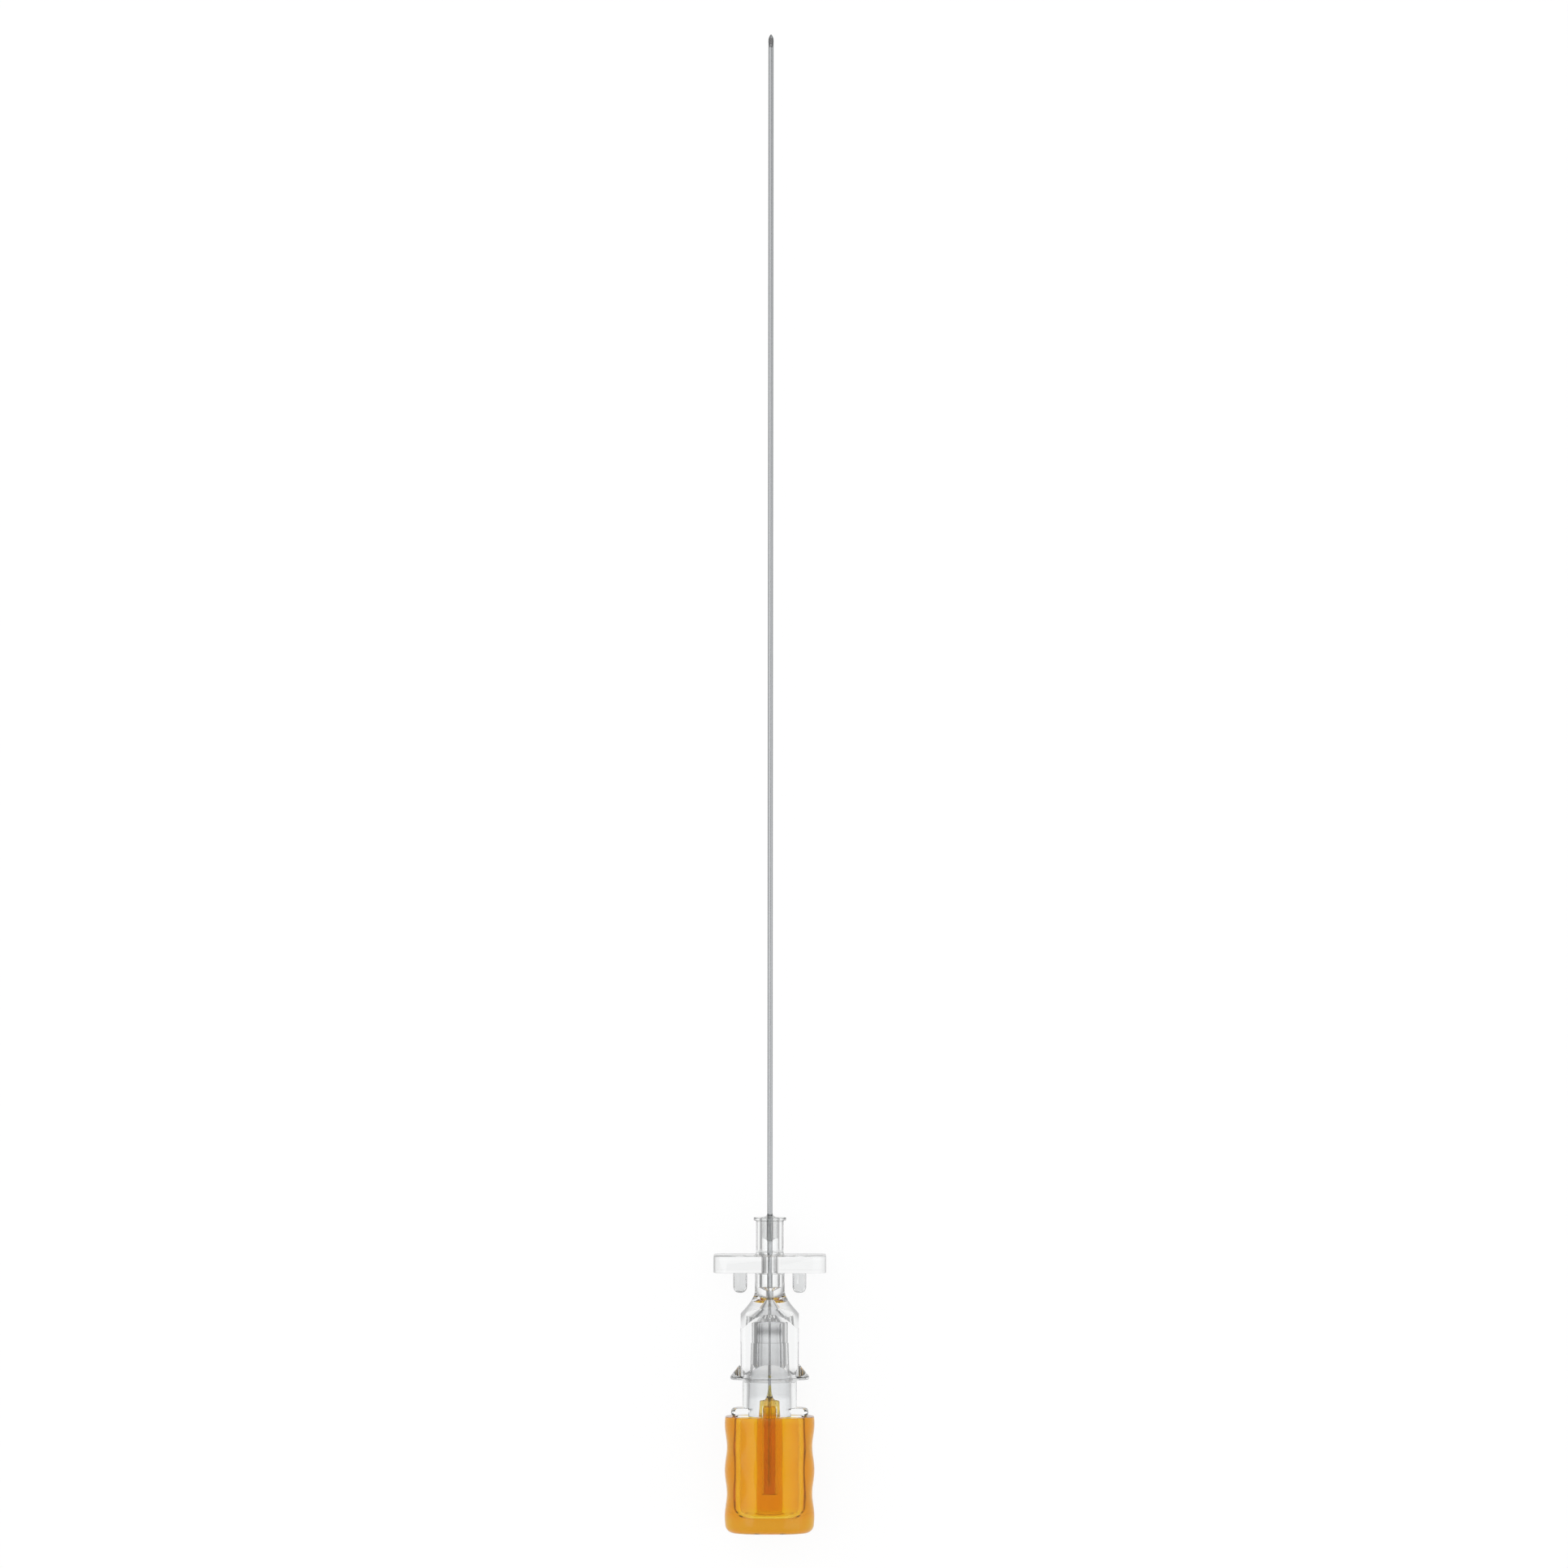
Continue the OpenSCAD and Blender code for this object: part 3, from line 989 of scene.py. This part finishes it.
    def plate(self) -> bmesh.types.BMesh:
        """Makes the grip plate."""
        low = Vector((-self.plate_half_width, -self.plate_back, -self.plate_half_depth))
        high = Vector((self.plate_half_width, -self.nose_length, self.plate_half_depth))
        return slab(low, high, self.plate_corner, Axis.ALONG, self.plate_edge)

    def rib(self, side: int) -> bmesh.types.BMesh:
        """Makes the rib under one wing of the plate.

        Args:
            side: Which wing, -1 or 1.
        """
        middle = side * self.rib_offset
        sunk = 0.8
        low = Vector((middle - self.rib_width / 2, -self.plate_back - self.rib_reach, -self.rib_depth / 2))
        high = Vector((middle + self.rib_width / 2, -self.plate_back + sunk, self.rib_depth / 2))
        bm = block(low, high)
        end = (low.y + 0.1) * MM
        heels = [e for e in bm.edges if e.verts[0].co.y < end and e.verts[1].co.y < end
                 and abs(e.verts[0].co.x - e.verts[1].co.x) > 0.1 * MM]
        bevelled(bm, heels, self.rib_heel, 8)
        bm.normal_update()
        rims = {e for f in bm.faces if abs(f.normal.x) > 0.99 for e in f.edges}
        bevelled(bm, list(rims), self.rib_corner, 6)
        return bm

    def lugs(self) -> bmesh.types.BMesh:
        """Makes the two lugs as one bar across the mouth, round at its ends."""
        bm = bmesh.new()
        turn = Matrix.Rotation(math.pi / 2, 3, "X")
        bmesh.ops.create_circle(bm, cap_ends=True, radius=self.lug_radius * MM, segments=self.segments)
        bmesh.ops.rotate(bm, cent=(0.0, 0.0, 0.0), matrix=turn, verts=bm.verts)
        for side in (-1, 1):
            bmesh.ops.bisect_plane(
                bm,
                geom=bm.verts[:] + bm.edges[:] + bm.faces[:],
                dist=1e-9,
                plane_co=Axis.UP.value * side * self.lug_width / 2 * MM,
                plane_no=Axis.UP.value * side,
                clear_outer=True,
            )
        bmesh.ops.translate(bm, vec=Axis.ALONG.value * -self.mouth * MM, verts=bm.verts)
        grown = bmesh.ops.extrude_face_region(bm, geom=bm.faces[:])["geom"]
        moved = [v for v in grown if isinstance(v, bmesh.types.BMVert)]
        bmesh.ops.translate(bm, vec=Axis.ALONG.value * self.lug_thickness * MM, verts=moved)
        bmesh.ops.recalc_face_normals(bm, faces=bm.faces)
        near = (self.lug_radius - 0.05) * MM
        sharp = [e for e in bm.edges if e.calc_face_angle(0.0) > math.radians(60)]
        ends = [e for e in sharp if all(math.hypot(v.co.x, v.co.z) > near for v in e.verts)
                and abs(e.verts[0].co.y - e.verts[1].co.y) < 0.1 * MM
                and abs(e.verts[0].co.x - e.verts[1].co.x) < 2 * MM]
        bevelled(bm, ends, self.lug_edge, 5)
        return bm

    def notch(self) -> bmesh.types.BMesh:
        """Makes the block that cuts the key's notch in the near side of the mouth."""
        half = self.key_width / 2 + self.key_gap
        over = 0.5
        low = Vector((-half, -self.mouth - over, 0.0))
        high = Vector((half, -self.mouth + self.key_depth + self.key_gap, self.barrel_radius + over))
        return slab(low, high, 0.15, Axis.UP, 0.02)

    def on_rib(self, place: Vector) -> bool:
        """Says whether a place on the skin is on one of the ribs."""
        across = abs(abs(place.x) / MM - self.rib_offset) < self.rib_width / 2 + self.weld
        along = self.plate_back + self.weld < -place.y / MM < self.plate_back + self.rib_reach + self.weld
        return across and along

    def build(self) -> None:
        """Makes the moulding and dresses it, with painted shade on the bore's walls and the ribs, which take greyer
        copies of the clear plastic.
        """
        made = new_object(self.piece.name, self.outer())
        body = self.body()
        form = bmesh.new()
        form.from_mesh(body.data)
        bpy.data.objects.remove(body)
        combined(made, form, Join.WELD)
        combined(made, self.plate(), Join.WELD)
        for side in (-1, 1):
            combined(made, self.rib(side), Join.WELD)
        combined(made, self.lugs(), Join.WELD)
        combined(made, self.bore(), Join.CUT)
        combined(made, self.notch(), Join.CUT)
        smoothed(made, 32.0)
        self.piece.settle(made, [HUB_PLASTIC.material(), BORE_PAINTED_SHADE.material(), RIB_PAINTED_SHADE.material()])
        # Painted shade: faces of the bore behind the cannula take the bore's greyer copy of the plastic, and faces
        # of the ribs take the ribs' copy.
        wide = (self.socket_radius + 0.02) * MM
        for face in made.data.polygons:
            place = face.center
            inside = math.hypot(place.x, place.z) < wide and -self.mouth * MM + 1e-5 < place.y
            if inside and place.y < -self.cannula_root * MM:
                face.material_index = 1
            elif self.on_rib(place):
                face.material_index = 2


@dataclass
class HubGlue:
    """The ring of adhesive that holds the cannula in the nose."""

    hub: Hub
    cannula_radius: float
    skin: float = 0.004
    climb: float = 0.4
    fill: float = 2.1
    creep: float = 0.4
    segments: int = 64
    piece: Piece = field(default_factory=lambda: Piece("nose_glue", "hub_adhesive", Body.NEEDLE, "hub_glue"))

    def build(self) -> None:
        """Makes the ring, with a hollow meniscus at each end, and dresses it."""
        bore = self.cannula_radius + self.skin
        wide = self.hub.well_radius - self.skin
        outline = meniscus(wide, bore, 0.0, self.climb) + meniscus(wide, bore, -self.fill, -self.creep)[::-1]
        bm = turned(outline, self.segments, closed=True)
        made = smoothed(new_object(self.piece.name, bm), 35.0)
        self.piece.settle(made, [HUB_GLUE.material()])


def rounded_reach(half_width: float, half_depth: float, corner: float, angle: float) -> float:
    """Gives the distance from the middle of a round-cornered rectangle to its edge.

    Args:
        half_width: Half of its width.
        half_depth: Half of its depth.
        corner: Radius of its corners.
        angle: Direction, in radians.

    Returns:
        The distance.
    """
    across = abs(math.cos(angle))
    up = abs(math.sin(angle))
    if across * (half_depth - corner) >= up * half_width:
        return half_width / across
    if up * (half_width - corner) >= across * half_depth:
        return half_depth / up
    toward = (half_width - corner) * across + (half_depth - corner) * up
    away = (half_width - corner) ** 2 + (half_depth - corner) ** 2 - corner ** 2
    return toward + math.sqrt(toward ** 2 - away)


@dataclass(frozen=True)
class Ring:
    """A ring of the handle's skin: a round-cornered rectangle or a circle at one place along the axis."""

    place: float
    half_width: float
    half_depth: float
    corner: float

    def point(self, angle: float) -> Vector:
        """Gives the ring's point in one direction.

        Args:
            angle: The direction, in radians.

        Returns:
            The point, in metres.
        """
        reach = rounded_reach(self.half_width, self.half_depth, self.corner, angle)
        return Vector((reach * math.cos(angle), self.place, reach * math.sin(angle))) * MM


@dataclass
class Handle:
    """The amber handle: an oval cup with finger waists, and a post in it that ends in the plug.

    Lengths are in millimetres.
    """

    corner: float = 3.2
    wall: float = 1.1
    side_wall: float = 1.45
    floor: float = 1.5
    floor_round: float = 1.0
    waist: float = 0.22
    edge: float = 0.9
    crown: float = 0.15
    post_radius: float = 1.4
    plug_root: float = 1.1
    plug_tip: float = 1.0
    plug_length: float = 1.7
    well_radius: float = 0.6
    well_depth: float = 9.65
    first_ridge: float = 0.06
    ridge_pitch: float = 0.4
    segments: int = 128
    piece: Piece = field(default_factory=lambda: Piece("amber_handle", "stylet_handle", Body.STYLET, "amber_handle"))

    def __post_init__(self) -> None:
        """Takes the handle's outer sizes from the frame."""
        low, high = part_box("stylet_handle")
        self.half_width = high.x / MM
        self.half_depth = high.z / MM
        self.end = low.y / MM + self.crown
        self.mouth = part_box("hub")[0].y / MM
        self.length = self.mouth - self.end

    def oval(self, place: float, inset: float) -> Ring:
        """Gives a ring of the cup's outside, which follows the finger waists.

        Args:
            place: Place along the axis.
            inset: Distance drawn in from the outside.
        """
        share = (self.mouth - place) / self.length
        wave = (1 - math.cos(math.tau * (share - self.first_ridge) / self.ridge_pitch)) / 2
        half_width = self.half_width - self.waist * wave - inset
        return Ring(place, half_width, self.half_depth - inset, self.corner - inset)

    def hollow(self, place: float, inset: float = 0.0) -> Ring:
        """Gives a ring of the cup's inside, which is straight.

        Args:
            place: Place along the axis.
            inset: Distance drawn in from the wall.
        """
        half_depth = self.half_depth - self.wall - inset
        return Ring(place, self.half_width - self.side_wall - inset, half_depth, self.corner - self.wall - inset)

    def outside(self) -> list[Ring]:
        """Gives the rings from the middle of the end, up the outside, to the rim."""
        last = self.oval(self.end + self.edge, 0.0)
        flat = Ring(self.end, last.half_width - self.edge, last.half_depth - self.edge, self.corner - self.edge)
        crown = []
        for share in (0.02, 0.15, 0.35, 0.6, 0.85):
            drop = self.crown * (1 - share ** 2)
            crown.append(Ring(self.end - drop, flat.half_width * share, flat.half_depth * share,
                              flat.corner * share))
        turn = []
        for step in range(9):
            angle = math.radians(90 * (1 - step / 8))
            inset = self.edge * (1 - math.cos(angle))
            turn.append(Ring(self.end + self.edge * (1 - math.sin(angle)), last.half_width - inset,
                             last.half_depth - inset, self.corner - inset))
        sides = []
        steps = 40
        soft = 0.15
        top = self.mouth - soft
        for step in range(1, steps + 1):
            sides.append(self.oval(self.end + self.edge + (top - self.end - self.edge) * step / steps, 0.0))
        return crown + turn + sides

    def rim(self) -> list[Ring]:
        """Gives the rings over the softened rim, from outside to inside."""
        soft = 0.15
        made = []
        for step in range(1, 5):
            angle = math.radians(90 * step / 4)
            made.append(self.oval(self.mouth - soft * (1 - math.sin(angle)), soft * (1 - math.cos(angle))))
        for step in range(5):
            angle = math.radians(90 * (1 - step / 4))
            place = self.mouth - soft * (1 - math.sin(angle))
            made.append(self.hollow(place, -soft * (1 - math.cos(angle))))
        return made

    def inside(self) -> list[Ring]:
        """Gives the rings down the cup's wall, across its floor and up the post to the bottom of the well."""
        bottom = self.end + self.floor
        soft = 0.4
        made = [self.hollow(place) for place in (self.mouth - 2, bottom + 3)]
        for step in range(9):
            angle = math.radians(90 * step / 8)
            made.append(self.hollow(bottom + self.floor_round * (1 - math.sin(angle)),
                                    self.floor_round * (1 - math.cos(angle))))
        foot = self.post_radius + soft
        made.append(Ring(bottom, foot, foot, foot))
        for r, y in arc((foot, bottom + soft), soft, 270, 180, 6)[1:]:
            made.append(Ring(y, r, r, r))
        tip = self.mouth + self.plug_length
        for r, y in rounded_outline([
            Corner(self.post_radius, bottom + 2 * soft),
            Corner(self.post_radius, self.mouth, 0.1),
            Corner(self.plug_root, self.mouth, 0.1),
            Corner(self.plug_tip, tip, 0.2),
            Corner(self.well_radius, tip, 0.05),
            Corner(self.well_radius, tip - self.well_depth, 0.15),
            Corner(0.02, tip - self.well_depth),
        ]):
            made.append(Ring(y, r, r, r))
        return made

    def skin(self) -> bmesh.types.BMesh:
        """Draws the handle's skin through its rings.

        Returns:
            A closed mesh.
        """
        rings = self.outside() + self.rim() + self.inside()
        bm = bmesh.new()
        verts = bmesh.ops.create_circle(bm, cap_ends=True, radius=MM, segments=self.segments)["verts"]
        angles = [math.tau * i / self.segments for i in range(self.segments)]
        for vert, angle in zip(verts, angles):
            vert.co = rings[0].point(angle)
        edges = [e for e in bm.edges if e.is_boundary or len(e.link_faces) == 1]
        for ring in rings[1:]:
            grown = bmesh.ops.extrude_edge_only(bm, edges=edges)["geom"]
            fresh = [v for v in grown if isinstance(v, bmesh.types.BMVert)]
            edges = [e for e in grown if isinstance(e, bmesh.types.BMEdge)]
            for vert in fresh:
                vert.co = ring.point(math.atan2(vert.co.z, vert.co.x))
        bmesh.ops.contextual_create(bm, geom=edges)
        bmesh.ops.recalc_face_normals(bm, faces=bm.faces)
        return bm

    def key(self, hub: Hub) -> bmesh.types.BMesh:
        """Makes the key that enters the hub's notch.

        Args:
            hub: The hub, whose notch the key fits.
        """
        inner = self.well_radius + 0.3
        low = Vector((-hub.key_width / 2, self.mouth - hub.key_depth, inner))
        high = Vector((hub.key_width / 2, self.mouth + hub.key_depth, hub.barrel_radius))
        return slab(low, high, 0.2, Axis.UP, 0.08)

    def build(self, hub: Hub) -> None:
        """Makes the handle with its key and dresses it.

        Args:
            hub: The hub that it seats on.
        """
        made = new_object(self.piece.name, self.skin())
        combined(made, self.key(hub), Join.WELD)
        smoothed(made, 35.0)
        self.piece.settle(made, [AMBER.material()])


@dataclass
class HandleGlue:
    """The adhesive that fills the handle's well round the wire."""

    handle: Handle
    skin: float = 0.004
    climb: float = 1.5
    grip: float = 8.5
    segments: int = 64
    piece: Piece = field(
        default_factory=lambda: Piece("handle_glue", "stylet_adhesive", Body.STYLET, "handle_glue"))

    def build(self) -> None:
        """Makes the plug of adhesive, with its hollow meniscus, and dresses it."""
        low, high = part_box("stylet_wire")
        bore = (high.x - low.x) / 2 / MM + self.skin
        wide = self.handle.well_radius - self.skin
        tip = self.handle.mouth + self.handle.plug_length
        bottom = tip - self.handle.well_depth + self.skin
        wire_end = low.y / MM
        outline = [(0.0, bottom), (wide, bottom), *meniscus(wide, bore, tip, self.climb),
                   (bore, wire_end - self.skin), (0.0, wire_end - self.skin)]
        bm = turned(outline, self.segments)
        made = smoothed(new_object(self.piece.name, bm), 35.0)
        self.piece.settle(made, [AMBER_GLUE.material()])


@dataclass
class Studio:
    """The pale floor, the soft light and the camera above the needle."""

    frame_width: float = 159.0
    centre: Point = (1.39, 43.95)
    lens: float = 250.0
    sensor: float = 36.0
    tilt: float = 0.056
    floor_gap: float = 0.05
    # Painted shade and shadow on the floor seen through the plastic: the glow by slant, the stronger fading to the
    # left of the needle, and where the fading starts past the handle.
    painted_paper_shade: tuple[Point, ...] = ((0.0, 0.98), (0.12, 0.9), (0.35, 0.5), (0.8, 0.3))
    paper_gloss: float = 0.8
    sky_level: float = 0.75
    sky_gloss: tuple[Point, ...] = ((0.0, 0.8), (0.2, 0.55), (0.5, 0.2), (0.8, 0.6), (1.0, 0.85))
    sky_through: tuple[Point, ...] = ((0.0, 0.2), (0.5, 0.75), (0.85, 0.95))
    painted_shadow_share: Point = (1.35, 0.75)
    painted_shadow_span: Point = (-3.0, 3.0)
    painted_shade_start: Point = (-19.8, -19.2)

    def floor(self, drop: float) -> None:
        """Lays the floor just under the needle, white to the eye, with painted shade and a painted shadow where it
        is seen through the plastic.

        Args:
            drop: Height of the needle's lowest point, in metres.
        """
        bm = bmesh.new()
        bmesh.ops.create_grid(bm, x_segments=1, y_segments=1, size=1.5)
        bmesh.ops.translate(bm, vec=(0.0, 0.0, drop - self.floor_gap * MM), verts=bm.verts)
        ground = new_object("floor", bm)
        material = bpy.data.materials.new("pale_floor")
        material.use_nodes = True
        nodes = material.node_tree.nodes
        links = material.node_tree.links
        nodes.clear()
        output = nodes.new("ShaderNodeOutputMaterial")
        paper = nodes.new("ShaderNodeBsdfDiffuse")
        paper.inputs["Color"].default_value = (0.9, 0.9, 0.9, 1.0)
        path = nodes.new("ShaderNodeLightPath")
        # Painted shade and shadow: seen through the plastic, the floor's glow fades for slanting rays, more to the
        # left of the needle than to its right, and not round the handle.
        slant = nodes.new("ShaderNodeLayerWeight")
        slant.inputs["Blend"].default_value = 0.5
        fall = nodes.new("ShaderNodeValToRGB")
        fall.color_ramp.interpolation = "EASE"
        shades = fall.color_ramp.elements
        shades.new(0.5)
        shades.new(0.5)
        for shade, (at, value) in zip(shades, self.painted_paper_shade):
            shade.position = at
            shade.color = (value, value, value, 1.0)
        place = nodes.new("ShaderNodeTexCoord")
        parts = nodes.new("ShaderNodeSeparateXYZ")
        links.new(place.outputs["Object"], parts.inputs["Vector"])
        amount = slant.outputs["Facing"]
        for axis, span, shares in (
            ("X", self.painted_shadow_span, self.painted_shadow_share),
            ("Y", self.painted_shade_start, (0.0, 1.0)),
        ):
            share = nodes.new("ShaderNodeMapRange")
            share.inputs["From Min"].default_value = span[0] * MM
            share.inputs["From Max"].default_value = span[1] * MM
            share.inputs["To Min"].default_value = shares[0]
            share.inputs["To Max"].default_value = shares[1]
            less = nodes.new("ShaderNodeMath")
            less.operation = "MULTIPLY"
            links.new(parts.outputs[axis], share.inputs["Value"])
            links.new(amount, less.inputs[0])
            links.new(share.outputs["Result"], less.inputs[1])
            amount = less.outputs["Value"]
        links.new(amount, fall.inputs["Fac"])
        plain = nodes.new("ShaderNodeEmission")
        through = nodes.new("ShaderNodeEmission")
        mirrored = nodes.new("ShaderNodeEmission")
        mirrored.inputs["Strength"].default_value = self.paper_gloss
        links.new(fall.outputs["Color"], through.inputs["Color"])
        made = paper.outputs["BSDF"]
        for ray, glow, share in (
            ("Is Glossy Ray", mirrored, 1.0),
            ("Is Transmission Ray", through, 1.0),
            ("Is Camera Ray", plain, 0.92),
        ):
            amount = nodes.new("ShaderNodeMath")
            amount.operation = "MULTIPLY"
            amount.inputs[1].default_value = share
            mixed = nodes.new("ShaderNodeMixShader")
            links.new(path.outputs[ray], amount.inputs[0])
            links.new(amount.outputs["Value"], mixed.inputs["Fac"])
            links.new(made, mixed.inputs[1])
            links.new(glow.outputs["Emission"], mixed.inputs[2])
            made = mixed.outputs["Shader"]
        links.new(made, output.inputs["Surface"])
        ground.data.materials.append(material)
        ground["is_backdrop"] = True

    def sky(self) -> None:
        """Sets the world: white to the eye, and an even light with a darker band for gloss and glass."""
        world = bpy.data.worlds.new("studio")
        bpy.context.scene.world = world
        world.use_nodes = True
        nodes = world.node_tree.nodes
        links = world.node_tree.links
        nodes.clear()
        output = nodes.new("ShaderNodeOutputWorld")
        place = nodes.new("ShaderNodeTexCoord")
        parts = nodes.new("ShaderNodeSeparateXYZ")
        across = nodes.new("ShaderNodeMapRange")
        across.inputs["From Min"].default_value = -1.0
        path = nodes.new("ShaderNodeLightPath")
        links.new(place.outputs["Generated"], parts.inputs["Vector"])
        links.new(parts.outputs["X"], across.inputs["Value"])
        even = nodes.new("ShaderNodeBackground")
        even.inputs["Color"].default_value = (*grey(self.sky_level), 1.0)
        made = even.outputs["Background"]
        for ray, stops in (
            ("Is Glossy Ray", self.sky_gloss),
            ("Is Transmission Ray", self.sky_through),
            ("Is Camera Ray", ((0.0, 1.0), (0.5, 1.0), (1.0, 1.0))),
        ):
            ramp = nodes.new("ShaderNodeValToRGB")
            for _ in stops[2:]:
                ramp.color_ramp.elements.new(0.5)
            for shade, (at, value) in zip(ramp.color_ramp.elements, stops):
                shade.position = at
                shade.color = (*grey(value), 1.0)
            seen = nodes.new("ShaderNodeBackground")
            mixed = nodes.new("ShaderNodeMixShader")
            links.new(across.outputs["Result"], ramp.inputs["Fac"])
            links.new(ramp.outputs["Color"], seen.inputs["Color"])
            links.new(path.outputs[ray], mixed.inputs["Fac"])
            links.new(made, mixed.inputs[1])
            links.new(seen.outputs["Background"], mixed.inputs[2])
            made = mixed.outputs["Shader"]
        links.new(made, output.inputs["Surface"])

    def lamp(self, name: str, place: Vector, aim: Vector, size: float, power: float) -> None:
        """Hangs one square soft lamp.

        Args:
            name: Name of the lamp.
            place: Where it hangs, in metres.
            aim: The point that it faces.
            size: Its side, in metres.
            power: Its power, in watts.
        """
        data = bpy.data.lights.new(name, "AREA")
        data.shape = "SQUARE"
        data.size = size
        data.energy = power
        made = bpy.data.objects.new(name, data)
        made.location = place
        made.rotation_euler = (aim - place).to_track_quat("-Z", "Y").to_euler()
        bpy.context.scene.collection.objects.link(made)

    def camera(self) -> None:
        """Sets the camera straight above the needle, at the photograph's framing."""
        data = bpy.data.cameras.new("camera")
        data.lens = self.lens
        data.sensor_width = self.sensor
        data.clip_start = 0.01
        data.clip_end = 10.0
        made = bpy.data.objects.new("camera", data)
        height = self.frame_width * MM * self.lens / self.sensor
        made.location = (self.centre[0] * MM, self.centre[1] * MM, height)
        made.rotation_euler = (0.0, 0.0, math.radians(self.tilt))
        bpy.context.scene.collection.objects.link(made)
        bpy.context.scene.camera = made

    def build(self, drop: float) -> None:
        """Sets up the whole studio.

        Args:
            drop: Height of the needle's lowest point, in metres.
        """
        self.floor(drop)
        self.sky()
        middle = Vector((0.0, 0.0, 0.0))
        self.lamp("key_light", Vector((-0.35, 0.25, 0.6)), middle, 0.9, 3.0)
        self.lamp("fill_light", Vector((0.45, -0.1, 0.5)), middle, 0.9, 1.6)
        self.camera()
        bpy.context.scene.view_settings.view_transform = "Standard"


def main() -> None:
    """Builds the needle piece by piece, and the studio round it."""
    logging.basicConfig(level=logging.INFO, format="%(name)s: %(message)s")
    cad_low, cad_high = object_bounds()
    Studio().build(cad_low.z)
    cannula = Cannula()
    cannula.build()
    StyletWire(cannula.point).build()
    hub = Hub()
    hub.build()
    HubGlue(hub, cannula.radius).build()
    handle = Handle()
    handle.build(hub)
    HandleGlue(handle).build()


if __name__ == "__main__":
    main()
